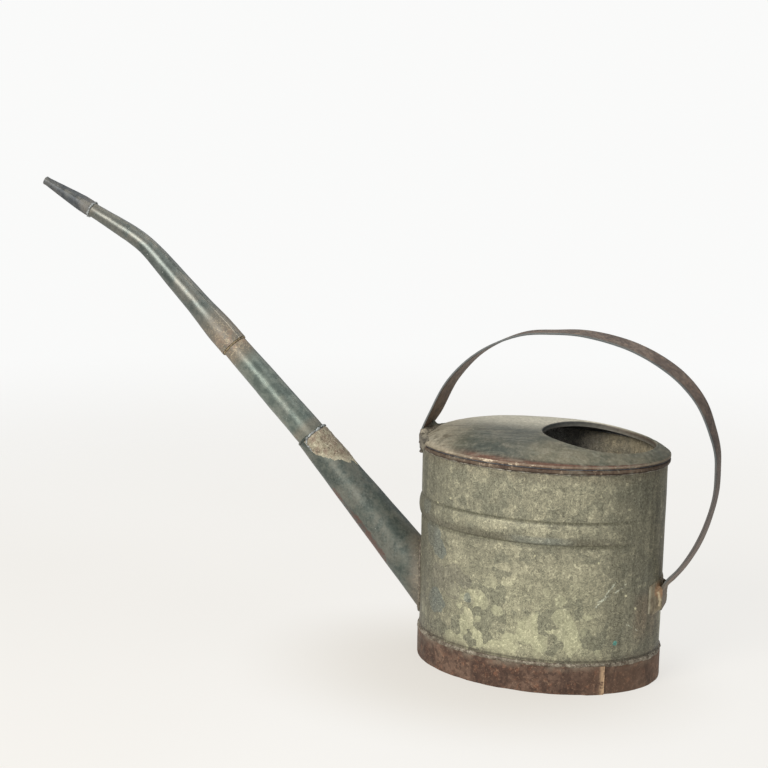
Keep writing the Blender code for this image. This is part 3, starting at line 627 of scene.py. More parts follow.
def pipe_zinc(name, base, dark, pale, brown_share, roughness, lap_lines, warm,
              grain):
    """Dark green grey sheet of the spout, browner at its joints."""
    s = Shade(name)
    joint = s.attribute("joint")
    broad = s.noise(22.0, 3.0, 0.5)
    middle = s.noise(85.0, 5.0, 0.66)
    fine = s.noise(420.0, 3.0, 0.65)
    s.colour = s.mix(middle.step(0.38, 0.66), tint(*dark), tint(*base))
    s.coat((broad + fine * 0.5).step(0.72, 0.92) * 0.4, *pale)
    s.coat((broad * 0.6 + middle * 0.5).step(0.50, 0.64) * warm, 112, 104, 92)
    brown = joint.step(0.05, 0.70) * (0.40 + middle * 1.2)
    s.coat(brown * brown_share, 126, 114, 98)
    orange = joint.step(0.70, 0.95) * (fine + middle - 0.98).step(0.0, 0.12)
    s.coat(orange * brown_share * 0.5, 168, 132, 104)
    swirl = s.noise(95.0, 2.0, 0.5, 1.8).near(0.5, 0.026, 0.004)
    s.coat(swirl * joint.step(0.30, 0.85) * brown_share * 0.9, 196, 180, 148)
    under = s.attribute("under")
    reddish = (under * 1.2 + (middle - 0.5) * 3.0 + (fine - 0.5) * 1.4 - 0.66).step(0.0, 0.60)
    s.coat(reddish * under.step(0.02, 0.20) * 0.75, 96, 62, 52)
    turn = s.attribute("turn")
    for place in lap_lines:
        line = turn.near(place, 0.040, 0.015)
        s.coat(turn.near(place + 0.06, 0.045, 0.015) * 0.40, 60, 60, 54)
        s.coat(line * (broad + middle * 0.8).step(0.72, 1.00) * 0.52, 172, 168, 154)
    s.coat(s.specks(210.0, 0.16, 0.92) * 0.75, 196, 198, 188)
    s.shaded(s.grain(900.0, 300.0, grain))
    height = middle * 0.5 + fine * 0.10 + brown * fine * 0.2
    rough = roughness + middle * 0.14 + brown * 0.16
    return s.finish(rough, 0.50 - brown * 0.25, height, 0.22, 0.0005)


# Solder finishes: base, dark and bright colour, grain, level of the pits, share of wipe marks
SOLDER_FINISHES = {
    "mound": ((136, 128, 110), (84, 77, 66), (184, 175, 152), 1.0, 0.455, 0.55),
    "root": ((120, 112, 98), (96, 88, 76), (146, 137, 120), 1.0, 0.40, 0.55),
    "foot_line": ((134, 125, 108), (92, 80, 66), (184, 176, 158), 1.0, 0.40, 0.55),
    "bright": ((164, 168, 166), (112, 112, 108), (214, 218, 216), 1.0, 0.40, 0.55),
    "dull": ((146, 140, 124), (98, 88, 74), (196, 192, 178), 1.0, 0.40, 0.55),
    "tan": ((144, 136, 113), (134, 118, 100), (200, 193, 168), 0.45, 0.40, 0.60),
    "stained": ((148, 132, 102), (108, 96, 74), (206, 184, 144), 1.0, 0.40, 0.55),
}


def solder_finish(name, base, dark, bright, grain, pitted, wiped):
    """Dull lumpy solder with brighter crowns, dark pits and pale wipe marks."""
    s = Shade(name)
    dark = tint(*dark)
    middle = s.noise(160.0, 4.0, 0.66)
    fine = s.noise(700.0, 3.0, 0.65)
    wipe = s.noise(85.0, 2.0, 0.5, 1.8).near(0.5, 0.020, 0.002)
    s.colour = s.mix(middle.step(0.36, 0.64), dark, tint(*base))
    s.coat((fine * 0.6 + middle * 0.6).step(0.62, 0.80) * 0.7, *bright)
    s.coat(wipe * wiped, *bright)
    s.coat(s.attribute("green") * 0.75, 130, 135, 120)
    pits = (s.noise(260.0, 3.0, 0.6) - pitted).step(0.0, -0.05)
    s.over(pits * 0.65, tuple(c * 0.35 for c in dark))
    s.coat(s.attribute("edge") * 0.80, 72, 61, 54)
    pinhole = s.spot(at(-0.2505, -0.0157, 0.2218), 0.0016)
    s.coat(pinhole * 0.95, 30, 28, 26)
    s.coat(s.attribute("border") * (0.3 + fine), *bright)
    s.shaded(s.grain(1300.0, 420.0, grain))
    height = middle * 0.4 + fine * 0.5 - pits * 0.6
    return s.finish(0.46 + fine * 0.25, 0.35, height, 0.5, 0.0007)


def heel_finish():
    """Olive stained solder under the handle's heel, orange near its top, with one bright line."""
    s = Shade("heel_solder")
    middle = s.noise(110.0, 4.0, 0.66)
    fine = s.noise(600.0, 3.0, 0.65)
    runs = s.noise(210.0, 3.0, 0.6, 0.0, s.stretched(1.0, 1.0, 0.12))
    s.colour = s.mix(middle.step(0.36, 0.64), tint(114, 102, 80), tint(150, 138, 112))
    s.coat((runs - 0.50).step(0.0, 0.12) * 0.55, 166, 156, 132)
    torn = s.ragged(0.004, 260.0)
    orange = s.spot(at(0.1268, -0.0150, 0.0965), 0.0075, torn)
    s.coat(orange * (0.25 + fine * 0.8), 164, 124, 90)
    bright = s.stroke(at(0.1256, -0.0178, 0.0945), at(0.1274, -0.0160, 0.0870), 0.0020, torn)
    lower = s.stroke(at(0.1274, -0.0160, 0.0870), at(0.1268, -0.0164, 0.0805), 0.0016, torn)
    s.coat(bright.largest(lower) * 0.70, 212, 194, 158)
    near = s.attribute("border") * (middle * 2.2 - 0.4).held()
    s.coat(near * 0.85, 184, 178, 154)
    s.shaded(s.grain(1200.0, 340.0))
    return s.finish(0.52 + fine * 0.2, 0.25, middle * 0.4 + fine * 0.4, 0.5, 0.0007)


def base_zinc():
    """Dull zinc of the base pan, stained by standing water."""
    s = Shade("base_zinc")
    broad = s.noise(24.0, 4.0, 0.6)
    fine = s.noise(360.0, 4.0, 0.65)
    s.colour = s.mix(broad.step(0.35, 0.65), tint(96, 90, 78), tint(126, 122, 108))
    s.coat((broad + fine).step(0.95, 1.20) * 0.6, 120, 84, 62)
    s.shaded(s.grain())
    return s.finish(0.62 + fine * 0.2, 0.35, broad * 0.3 + fine * 0.6, 0.5, 0.0008)


OTHER_FINISHES = {
    "wall": wall_zinc, "cover": cover_zinc, "foot": foot_rust, "strap": strap_iron,
    "base": base_zinc, "heel": heel_finish,
}
MADE_FINISHES = {}


def finish_for(name):
    """The material of this name, made once."""
    if name not in MADE_FINISHES:
        if name in SPOUT_FINISHES:
            made = pipe_zinc("aged_zinc_" + name, *SPOUT_FINISHES[name])
        elif name in SOLDER_FINISHES:
            made = solder_finish(name + "_solder", *SOLDER_FINISHES[name])
        else:
            made = OTHER_FINISHES[name]()
        MADE_FINISHES[name] = made
    return MADE_FINISHES[name]


# Mesh building

def lumpy(point, scale, shift=0.0):
    """Smooth noise, about -1 to 1, at a point."""
    return noise.noise(Vector((point[0] * scale + shift, point[1] * scale, point[2] * scale)))


def smooth_step(low, high, value):
    """Smooth step from 0 at low to 1 at high; low may be the larger."""
    share = min(1.0, max(0.0, (value - low) / (high - low)))
    return share * share * (3.0 - 2.0 * share)


def rise_and_fall(low, full, last, high, value):
    """1 from full to last, fading to 0 at low and at high."""
    return smooth_step(low, full, value) * (1.0 - smooth_step(last, high, value))


def turns_round(count):
    """Even turns round a full circle."""
    return [tau * k / count for k in range(count)]


def band_faces(rows, columns, steps):
    """Faces between closed rings of points, for this many steps from ring to ring."""
    faces = []
    for i in range(steps):
        here = i * columns
        above = ((i + 1) % rows) * columns
        for j in range(columns):
            side = (j + 1) % columns
            faces.append((here + j, here + side, above + side, above + j))
    return faces


# Edges that turn more than this many degrees stay sharp
SHARP_ANGLE = 38.0


def place_piece(piece, replaced):
    """Put a piece on the can, in place of the solids that it replaces."""
    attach(piece, "root")
    if replaced:
        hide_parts(*replaced)


def add_piece(name, points, faces, finish, replaced=(), marks=None, sharp=SHARP_ANGLE):
    """A finished piece: its mesh, marks for its material, and its place on the can."""
    mesh = bpy.data.meshes.new(name)
    mesh.from_pydata([tuple(p) for p in points], [], faces)
    if signed_volume(mesh) < 0.0:
        mesh.flip_normals()
    mesh.shade_smooth()
    mesh.set_sharp_from_angle(angle=radians(sharp))
    for mark, values in (marks or {}).items():
        layer = mesh.attributes.new(mark, "FLOAT", "POINT")
        layer.data.foreach_set("value", values)
    mesh.materials.append(finish_for(finish))
    piece = bpy.data.objects.new(name, mesh)
    bpy.context.scene.collection.objects.link(piece)
    place_piece(piece, replaced)
    return piece


def signed_volume(mesh):
    """Positive where a closed mesh's faces point outwards."""
    total = 0.0
    points = [v.co for v in mesh.vertices]
    for face in mesh.polygons:
        first = points[face.vertices[0]]
        for k in range(1, len(face.vertices) - 1):
            second = points[face.vertices[k]]
            third = points[face.vertices[k + 1]]
            total += first.dot(second.cross(third))
    return total / 6.0


def ring_piece(name, rings, finish, replaced=(), marks=None, sharp=SHARP_ANGLE):
    """Closed piece from a loop of closed rings; each mark has one value for each ring point."""
    points = [p for ring in rings for p in ring]
    faces = band_faces(len(rings), len(rings[0]), len(rings))
    return add_piece(name, points, faces, finish, replaced, marks, sharp)


def strip_piece(name, sections, finish, replaced=(), marks=None, sharp=SHARP_ANGLE):
    """Closed piece from closed sections laid one after another, capped at both ends."""
    count = len(sections[0])
    points = [p for section in sections for p in section]
    faces = band_faces(len(sections), count, len(sections) - 1)
    faces.append(tuple(reversed(range(count))))
    last = (len(sections) - 1) * count
    faces.append(tuple(last + k for k in range(count)))
    return add_piece(name, points, faces, finish, replaced, marks, sharp)


# Body

WALL_COLUMNS = 288


def oval_point(angle, offset, z):
    """A place on the body's oval, this far outside it."""
    s = sizes()
    x = (s.half_length + offset) * cos(angle)
    y = (s.half_width + offset) * sin(angle)
    return at(x, y, z)


def bead_share(angle):
    """How fully the bead stands out: it fades away towards the rear."""
    turn = abs((angle + pi) % tau - pi)
    return smooth_step(BEAD_FADE[0], BEAD_FADE[1], turn)


def bead_bump(z):
    """Rolled bead with a narrow groove above and below it, as a share of the bead's reach."""
    low = BEAD_MIDDLE_Z - BEAD_HEIGHT / 2.0
    share = (z - low) / BEAD_HEIGHT
    bump = 0.0
    if 0.0 < share < 1.0:
        bump = sin(pi * share) ** 0.8
    for edge in (low, low + BEAD_HEIGHT):
        bump -= GROOVE_DEPTH * exp(-((z - edge) / GROOVE_WIDTH) ** 2)
    return bump


def wall_offset(angle, z):
    """How far the wall stands out of the true oval here."""
    s = sizes()
    spot = oval_point(angle, 0.0, z)
    ends = rise_and_fall(0.030, 0.055, 0.205, 0.219, z)
    dents = lumpy(spot, 17.0) * 0.9 + lumpy(spot, 46.0, 5.0) * 0.35
    return s.bead_reach * bead_bump(z) * bead_share(angle) + s.dent_depth * dents * ends


def spread(low, high, steps):
    """Even steps from low towards high, without high itself."""
    return [low + (high - low) * k / steps for k in range(steps)]


def wall_heights():
    """Heights of the wall's rings, closer together at the bead."""
    low = BEAD_MIDDLE_Z - BEAD_HEIGHT * 0.68
    high = BEAD_MIDDLE_Z + BEAD_HEIGHT * 0.68
    top = RIM_TOP_Z - 0.0005
    return spread(WALL_FOOT_Z, low, 36) + spread(low, high, 36) + spread(high, top, 14) + [top]


class CAN_OT_wall(bpy.types.Operator):
    """Make the oval wall with its rolled bead, soft dents and spout hole"""
    bl_idname = "can.wall"
    bl_label = "Wall"

    def execute(self, context):
        heights = wall_heights()
        angles = turns_round(WALL_COLUMNS)
        rings = []
        inside = []
        for depth, rows in ((0.0, heights), (-SHEET, heights[::-1])):
            for z in rows:
                rings.append([oval_point(a, wall_offset(a, z) + depth, z) for a in angles])
                inside += [1.0 if depth else 0.0] * len(angles)
        wall = ring_piece("can_wall", rings, "wall", marks={"inside": inside})
        cut_spout_hole(wall)
        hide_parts("body_wall")
        return {"FINISHED"}


def cut_spout_hole(wall):
    """Round hole through the wall inside the spout's foot."""
    along, across = spout_frame(CONE_ANGLE)
    radius = CONE_ROOT_RADIUS - SHEET - 0.0025
    sections = []
    for way in (-2.2, 2.2):
        centre = spout_root() + along * (radius * way)
        sections.append([circle_point(centre, across, radius, t) for t in turns_round(64)])
    cutter = strip_piece("hole_cutter", sections, "wall")
    cut = wall.modifiers.new("spout_hole", "BOOLEAN")
    cut.operation = "DIFFERENCE"
    cut.solver = "EXACT"
    cut.object = cutter
    graph = bpy.context.evaluated_depsgraph_get()
    mesh = bpy.data.meshes.new_from_object(wall.evaluated_get(graph))
    wall.modifiers.clear()
    wall.data = mesh
    mesh.name = wall.name
    bpy.data.objects.remove(cutter, do_unlink=True)


class CAN_OT_foot(bpy.types.Operator):
    """Make the rusty foot band with its lapped end"""
    bl_idname = "can.foot"
    bl_label = "Foot band"

    def execute(self, context):
        s = sizes()
        mean = sqrt((s.half_length ** 2 + s.half_width ** 2) / 2.0)
        lap = LAP_LENGTH / mean
        ramp = lap * 0.35
        full = tau
        rise = FOOT_SHEET + GAP * 0.5
        steps = [(full * k / 300.0, 0.0) for k in range(300)]
        steps = [step for step in steps if step[0] < full - ramp * 1.6]
        steps += [(full - ramp * 1.4, 0.0), (full - ramp * 0.9, rise * 0.5)]
        steps += [(full - ramp * 0.4, rise)]
        steps += [(full + lap * k / 5.0, rise) for k in range(1, 6)]
        shares = (0.0, 0.06, 0.25, 0.5, 0.75, 0.94, 1.0)
        sections = []
        marks = []
        for turn, lift in steps:
            angle = LAP_ANGLE - lap + turn
            inner = GAP + lift
            outer = inner + FOOT_SHEET
            section = []
            for share in shares:
                spot = oval_point(angle, outer, FOOT_HEIGHT * share)
                rounded = 0.0004 if share in (0.0, 1.0) else 0.0
                wave = lumpy(spot, 24.0) * 0.0004 + lumpy(spot, 90.0) * 0.00016
                height = FOOT_HEIGHT * share
                if share == 0.0:
                    height += max(0.0, lumpy(spot, 60.0, 3.0)) * 0.0007
                section.append(oval_point(angle, outer - rounded + min(wave, 0.0003), height))
                marks.append(smooth_step(full + lap * 0.62, full + lap * 0.90, turn))
            for share in reversed(shares):
                section.append(oval_point(angle, inner, FOOT_HEIGHT * share))
                marks.append(0.0)
            sections.append(section)
        strip_piece("foot_band", sections, "foot", ("foot_ring",), {"lap": marks})
        return {"FINISHED"}


def dome_height(x, y):
    """Height of the cover, given a place from the body's middle."""
    s = sizes()
    out = hypot(x / (s.half_length + HEM_OUTER), y / (s.half_width + HEM_OUTER))
    return RIM_TOP_Z + DOME_RISE * (1.0 - min(1.0, out) ** DOME_POWER)


def dome_point(x, y, lift=0.0):
    """A place on the cover, given from the body's middle."""
    step = 0.0002
    slope_x = (dome_height(x + step, y) - dome_height(x - step, y)) / (2.0 * step)
    slope_y = (dome_height(x, y + step) - dome_height(x, y - step)) / (2.0 * step)
    normal = Vector((-slope_x, -slope_y, 1.0)).normalized()
    return at(x, y, dome_height(x, y)) + normal * lift


# Rows of the cover that make the mouth's lip, and those that make its inner side
LIP_ROWS = 4
INSIDE_ROWS = 24
# Share of the way from the mouth to the rim at each row of the dome
DOME_SHARES = (0.0, 0.03, 0.08, 0.14, 0.21, 0.28, 0.36, 0.44, 0.52, 0.60, 0.67, 0.74,
               0.80, 0.85, 0.89, 0.925, 0.95, 0.97, 0.985)
# How far in from the rim its dirt and rust reach
RIM_REACH = 0.045


class CAN_OT_cover(bpy.types.Operator):
    """Make the domed cover with its rolled mouth and folded edge"""
    bl_idname = "can.cover"
    bl_label = "Cover"

    def execute(self, context):
        columns = [cover_column(angle) for angle in turns_round(WALL_COLUMNS)]
        count = len(columns[0])
        rings = [[column[row][0] for column in columns] for row in range(count)]

        def on_rows(chosen):
            return [float(chosen(row)) for row in range(count) for _ in columns]

        marks = {
            "rim": [column[row][1] for row in range(count) for column in columns],
            "lip": on_rows(lambda row: row < LIP_ROWS or row > count - LIP_ROWS),
            "inside": on_rows(lambda row: row > count - INSIDE_ROWS),
            "lip_edge_highlight": on_rows(lambda row: row in (0, count - 1)),
        }
        ring_piece("can_cover", rings, "cover", ("cover",), marks, 50.0)
        return {"FINISHED"}


def cover_column(angle):
    """Places and rim marks from the mouth's lip out to the hem and back inside."""
    edge = oval_point(angle, HEM_OUTER, RIM_TOP_Z)
    centre = at(MOUTH_OFFSET, 0.0, 0.0)
    turn = atan2(edge.y, edge.x - centre.x)
    way = Vector((cos(turn), sin(turn), 0.0))
    crest = centre + way * (MOUTH_RADIUS + MOUTH_ROLL)
    hub_z = dome_height(crest.x - MIDDLE_X, crest.y) - MOUTH_ROLL
    column = []

    def lip(reach, rise):
        column.append((at(MOUTH_OFFSET, 0.0, hub_z + rise) + way * reach, 0.0))

    lip(MOUTH_RADIUS, -MOUTH_LIP)
    for bend in (0.0, 15.0, 30.0, 45.0, 60.0, 75.0):
        lean = radians(bend)
        lip(MOUTH_RADIUS + MOUTH_ROLL * (1.0 - cos(lean)), MOUTH_ROLL * sin(lean))
    for share in DOME_SHARES:
        flat = crest + (edge - crest) * share
        calm = rise_and_fall(0.0, 0.12, 0.90, 0.985, share)
        dent = (lumpy(flat, 19.0, 2.0) * 0.9 + lumpy(flat, 55.0) * 0.3) * sizes().dent_depth
        span = (edge - crest).length
        column.append((dome_point(flat.x - MIDDLE_X, flat.y, dent * calm - 0.0001),
                       max(0.0, 1.0 - (1.0 - share) * span / RIM_REACH)))
    wave = lumpy(edge, 35.0) * 0.00022 + lumpy(edge, 130.0, 4.0) * 0.00012
    sag = abs(lumpy(edge, 50.0, 8.0)) * 0.0004
    top, low = RIM_TOP_Z, RIM_BOTTOM_Z
    for offset, z in (
        (HEM_OUTER - 0.0005, top + 0.0001), (HEM_OUTER - 0.0001, top - 0.0005),
        (HEM_OUTER, top - 0.0014), (HEM_OUTER - 0.0001, top - 0.0024),
        (HEM_OUTER - 0.0011, top - 0.0030), (HEM_OUTER - 0.0011, top - 0.0035),
        (HEM_OUTER - 0.0003, top - 0.0042), (HEM_OUTER, low + 0.0026),
        (HEM_OUTER - 0.0001, low + 0.0012), (HEM_OUTER - 0.0008, low + sag),
    ):
        column.append((oval_point(angle, offset + wave, z), 1.0))
    for offset, z in (
        (GAP + 0.0006, low), (GAP, low + 0.0011), (GAP, top - SHEET),
        (GAP + SHEET, top - SHEET), (GAP + SHEET, low + 0.0013),
        (GAP + SHEET + 0.00035, low + 0.0009), (HEM_OUTER - SHEET, low + 0.0013),
        (HEM_OUTER - SHEET, top - 0.0004),
    ):
        column.append((oval_point(angle, offset, z), 1.0))
    for share in reversed(DOME_SHARES[1:]):
        flat = crest + (edge - crest) * share
        column.append((dome_point(flat.x - MIDDLE_X, flat.y, -SHEET), 0.0))
    bow = MOUTH_ROLL - SHEET
    for bend in (88.0, 45.0, 0.0):
        lean = radians(bend)
        lip(MOUTH_RADIUS + MOUTH_ROLL - bow * cos(lean), bow * sin(lean))
    lip(MOUTH_RADIUS + SHEET, -MOUTH_LIP)
    return column


# Spout

def spout_frame(angle):
    """Ways along and across the spout where it rises at this angle."""
    along = Vector((-cos(angle), 0.0, sin(angle)))
    across = Vector((sin(angle), 0.0, cos(angle)))
    return along, across


def spout_root():
    """Where the spout's middle line meets the wall."""
    return at(-sizes().half_length, 0.0, SPOUT_ROOT_Z)


def circle_point(centre, across, radius, turn):
    """A place on a circle round the spout, from the side that faces up."""
    side = Vector((0.0, radius * sin(turn), 0.0))
    return centre + across * (radius * cos(turn)) + side


# How high a lapped seam stands, and how far round the pipe it dies away
SEAM_RISE = 0.0007
SEAM_SPREAD = 0.45
# The mark on a pipe without a seam, far past any turn
NO_SEAM = 9.0


def seam_turns(seam):
    """Turns round a pipe with a close pair at its lapped seam."""
    turns = turns_round(84)
    if seam is None:
        return turns
    seam = seam % tau
    turns = [t for t in turns if abs(t - seam) > 0.03]
    return sorted(turns + [seam - 0.014, seam + 0.014])


def seam_lift(turn, seam):
    """The lap stands up sharply at the seam and dies away round the pipe."""
    if seam is None:
        return 0.0
    past = (turn - seam) % tau
    return SEAM_RISE * max(0.0, 1.0 - past / SEAM_SPREAD)


def cone_radius(distance):
    """Radius of the cone, this far up from the wall."""
    return CONE_ROOT_RADIUS + (CONE_TOP_RADIUS - CONE_ROOT_RADIUS) * distance / CONE_LENGTH


def wall_hit(top, low, offset):
    """Where the line from top to low first meets the oval wall grown by offset."""
    s = sizes()
    a = s.half_length + offset
    b = s.half_width + offset
    start = top - at(0.0, 0.0, 0.0)
    step = low - top
    two = (step.x / a) ** 2 + (step.y / b) ** 2
    one = 2.0 * (start.x * step.x / a ** 2 + start.y * step.y / b ** 2)
    rest = (start.x / a) ** 2 + (start.y / b) ** 2 - 1.0
    share = (-one - sqrt(one * one - 4.0 * two * rest)) / (2.0 * two)
    return top + step * share


def cone_line(turn, extra):
    """Ends of a straight line down the cone, the lower one well inside the wall."""
    along, across = spout_frame(CONE_ANGLE)
    inside = CONE_LENGTH * 0.25
    top_centre = spout_root() + along * CONE_LENGTH
    low_centre = spout_root() - along * inside
    top = circle_point(top_centre, across, cone_radius(CONE_LENGTH) + extra, turn)
    low = circle_point(low_centre, across, cone_radius(-inside) + extra, turn)
    return top, low


def under_side(turn):
    """1 along the lower edge of the spout on its near side."""
    return smooth_step(0.80, 0.94, cos(turn + radians(142.0)))


def make_cone_piece():
    """Cone of sheet from the middle tube down to the wall that it is cut to fit."""
    steps = 60
    turns = turns_round(96)
    outer = []
    inner = []
    under = []
    joint = []
    for turn in turns:
        top, low = cone_line(turn, 0.0)
        foot = wall_hit(top, low, GAP)
        line = []
        for k in range(steps + 1):
            spot = top + (foot - top) * (k / steps)
            calm = rise_and_fall(0.0, 0.1, 0.9, 1.0, k / steps)
            centre = spout_root() + spout_frame(CONE_ANGLE)[0] * CONE_LENGTH * (1.0 - k / steps)
            away = (spot - centre).normalized()
            line.append(spot + away * (lumpy(spot, 30.0, 1.0) * 0.00045 * calm))
        outer.append(line)
        top, low = cone_line(turn, -SHEET)
        foot = wall_hit(top, low, GAP)
        inner.append([foot + (top - foot) * (k / steps) for k in range(steps + 1)])
    rings = [[line[row] for line in outer] for row in range(steps + 1)]
    rings += [[line[row] for line in inner] for row in range(steps + 1)]
    for row in range(2 * (steps + 1)):
        share = row / steps if row <= steps else 1.0
        for turn, spot in zip(turns, rings[row]):
            wander = lumpy(spot, 24.0, 9.0)
            down = share + wander * 0.12
            along = rise_and_fall(0.16, 0.46, 0.62, 0.92, down)
            under.append(under_side(turn + wander * 0.20) * along)
            joint.append(smooth_step(0.80, 1.0, share) * 0.60)
    marks = {"under": under, "joint": joint, "turn": [NO_SEAM] * len(under)}
    ring_piece("spout_root_cone", rings, "cone", ("spout_cone",), marks)


def pipe_piece(name, stations, finish, replaced, seam=None, joint=None, under=0.0):
    """Thin walled pipe through stations of distance, centre, angle and radius."""
    turns = seam_turns(seam)
    outer = []
    inner = []
    marks = {"turn": [], "joint": [], "under": []}
    for distance, centre, angle, radius in stations:
        across = spout_frame(angle)[1]
        ring = []
        for turn in turns:
            spot = circle_point(centre, across, radius, turn)
            bumps = lumpy(spot, 34.0, 3.0) * 0.00035 + lumpy(spot, 120.0, 6.0) * 0.00012
            reach = radius + bumps + seam_lift(turn, seam)
            ring.append(circle_point(centre, across, reach, turn))
            past = NO_SEAM
            if seam is not None:
                past = (turn - seam + pi) % tau - pi
            marks["turn"].append(past)
            marks["joint"].append(joint(distance) if joint else 0.0)
            marks["under"].append(under * under_side(turn))
        outer.append(ring)
        inner.append([circle_point(centre, across, radius - SHEET, turn) for turn in turns])
    for values in marks.values():
        values.extend([0.0] * len(values))
    ring_piece(name, outer + inner[::-1], finish, replaced, marks)


def cone_end():
    """Middle of the cone's open upper end."""
    return spout_root() + spout_frame(CONE_ANGLE)[0] * CONE_LENGTH


def tube_end():
    """Middle of the neck's open lower end, where the tube goes in."""
    return cone_end() + spout_frame(TUBE_ANGLE)[0] * TUBE_LENGTH


TUBE_FOOT_RADIUS = CONE_TOP_RADIUS - SHEET - GAP
TUBE_TOP_RADIUS = NECK_FOOT_RADIUS - SHEET - NECK_FIT - GAP


def make_tube_piece():
    """Straight tube that goes into the cone below and the neck above."""
    lower = spout_frame(CONE_ANGLE)[0]
    upper = spout_frame(TUBE_ANGLE)[0]
    start = cone_end()
    bend = start + lower * 0.006
    finish = tube_end() + upper * SLEEVE_DEPTH
    middle = (CONE_ANGLE + TUBE_ANGLE) / 2.0
    stations = [
        (0.0, start - lower * SLEEVE_DEPTH, CONE_ANGLE, TUBE_FOOT_RADIUS),
        (0.0, start, CONE_ANGLE, TUBE_FOOT_RADIUS),
        (0.006, bend, middle, TUBE_FOOT_RADIUS * 0.995),
    ]
    rows = 54
    for k in range(1, rows + 1):
        share = k / rows
        radius = TUBE_FOOT_RADIUS + (TUBE_TOP_RADIUS - TUBE_FOOT_RADIUS) * min(1.0, share * 1.06)
        place = bend + (finish - bend) * share
        stations.append(((finish - bend).length * share, place, TUBE_ANGLE, radius))

    def joint(distance):
        near_top = smooth_step(TUBE_LENGTH - 0.042, TUBE_LENGTH - 0.002, distance)
        return max(near_top, 0.4 * (1.0 - smooth_step(0.004, 0.016, distance)))

    pipe_piece("spout_middle_tube", stations, "spout", ("spout_tube",),
               joint=joint, under=0.25)


def neck_angle(distance):
    """The neck bends over from the tube's rise to the nozzle's."""
    low = NECK_BEND_AT - NECK_BEND_LENGTH / 2.0
    high = NECK_BEND_AT + NECK_BEND_LENGTH / 2.0
    return TUBE_ANGLE + (NOZZLE_ANGLE - TUBE_ANGLE) * smooth_step(low, high, distance)


def neck_radius(distance):
    """Even where it sleeves over the tube, then narrowing to the waist and the tip."""
    bell = SLEEVE_DEPTH * 1.3
    if distance < bell:
        return NECK_FOOT_RADIUS
    waist = NECK_BEND_AT * 0.45
    if distance < waist:
        share = smooth_step(bell, waist, distance)
        return NECK_FOOT_RADIUS + (NECK_WAIST_RADIUS - NECK_FOOT_RADIUS) * share
    share = min(1.0, (distance - waist) / (NECK_LENGTH - waist))
    return NECK_WAIST_RADIUS + (NECK_TOP_RADIUS - NECK_WAIST_RADIUS) * share


def neck_track():
    """Stations along the neck: distance, centre, angle and radius."""
    total = NECK_LENGTH + SLEEVE_DEPTH
    fine = 400
    centre = tube_end()
    track = [(0.0, centre.copy(), neck_angle(0.0), neck_radius(0.0))]
    for k in range(fine):
        distance = total * (k + 0.5) / fine
        centre = centre + spout_frame(neck_angle(distance))[0] * (total / fine)
        reached = total * (k + 1) / fine
        track.append((reached, centre.copy(), neck_angle(distance), neck_radius(reached)))
    return track


def nozzle_foot():
    """Middle of the neck's upper end, where the nozzle sits."""
    return min(neck_track(), key=lambda row: abs(row[0] - NECK_LENGTH))[1]


def make_neck_piece():
    """Long narrow neck with its bend and its lapped seam."""
    stations = neck_track()[::4]

    def joint(distance):
        low = 0.9 - 0.9 * smooth_step(0.004, 0.070, distance)
        return max(low, 0.5 * smooth_step(NECK_LENGTH - 0.020, NECK_LENGTH, distance))

    pipe_piece("spout_long_neck", stations, "neck", ("spout_neck",),
               seam=radians(-26.0), joint=joint)


def make_nozzle_piece():
    """Tapered tip that sleeves over the neck's end."""
    along = spout_frame(NOZZLE_ANGLE)[0]
    start = nozzle_foot()
    foot = NECK_TOP_RADIUS + GAP + SHEET + 0.0001
    narrow = NOZZLE_MOUTH_RADIUS
    stations = []
    rows = 30
    for k in range(rows + 1):
        share = k / rows
        if share < 0.22:
            radius = foot * (1.0 - 0.07 * share) - 0.0006 * (1.0 - smooth_step(0.0, 0.05, share))
        elif share < 0.96:
            radius = foot * 0.985 + (narrow - foot * 0.985) * (share - 0.22) / 0.74
        else:
            radius = narrow * (1.0 + 0.06 * (share - 0.96) / 0.04)
        distance = NOZZLE_LENGTH * share
        stations.append((distance, start + along * distance, NOZZLE_ANGLE, radius))
    pipe_piece("spout_nozzle_tip", stations, "nozzle", ("spout_nozzle",),
               seam=radians(-60.0),
               joint=lambda distance: 0.6 * (1.0 - smooth_step(0.002, 0.02, distance)))


class CAN_OT_spout(bpy.types.Operator):
    """Make the spout's cone, tube, bent neck and nozzle"""
    bl_idname = "can.spout"
    bl_label = "Spout"

    def execute(self, context):
        make_cone_piece()
        make_tube_piece()
        make_neck_piece()
        make_nozzle_piece()
        return {"FINISHED"}


# Handle strap

def strap_front_x():
    """The front leg is pressed into the folded edge."""
    return -(sizes().half_length + HEM_OUTER + GAP + STRAP_THICKNESS / 2.0 - LEG_LET_IN)


def heel_x():
    """The heel lies on the rear patch."""
    return sizes().half_length + GAP + PATCH_SHEET + GAP + STRAP_THICKNESS / 2.0


def strap_controls():
    """Places on the strap's middle line, from the body's middle, with the twist there."""
    front = strap_front_x()
    back = sizes().half_length + HANDLE_REACH
    drop = RIM_TOP_Z - HEEL_TOP_Z
    rest = RIM_BOTTOM_Z - FRONT_LEG_BELOW_RIM
    controls = [(front, rest, 0.0), (front, (rest + RIM_TOP_Z) / 2.0, -1.0)]
    for share_x, share_z, twist in ARCH:
        x = front + (back - front) * share_x
        controls.append((x, RIM_TOP_Z + HANDLE_RISE * share_z, twist))
    heel = heel_x()
    for share_x, share_z, twist in REAR_LEG:
        controls.append((heel + (back - heel) * share_x, RIM_TOP_Z - drop * share_z, twist))
    controls.append((heel, HEEL_TOP_Z - 0.004, 5.0))
    controls.append((heel, HEEL_TOP_Z - HEEL_LENGTH * 0.6, 0.0))
    controls.append((heel, HEEL_TOP_Z - HEEL_LENGTH, 0.0))
    return controls


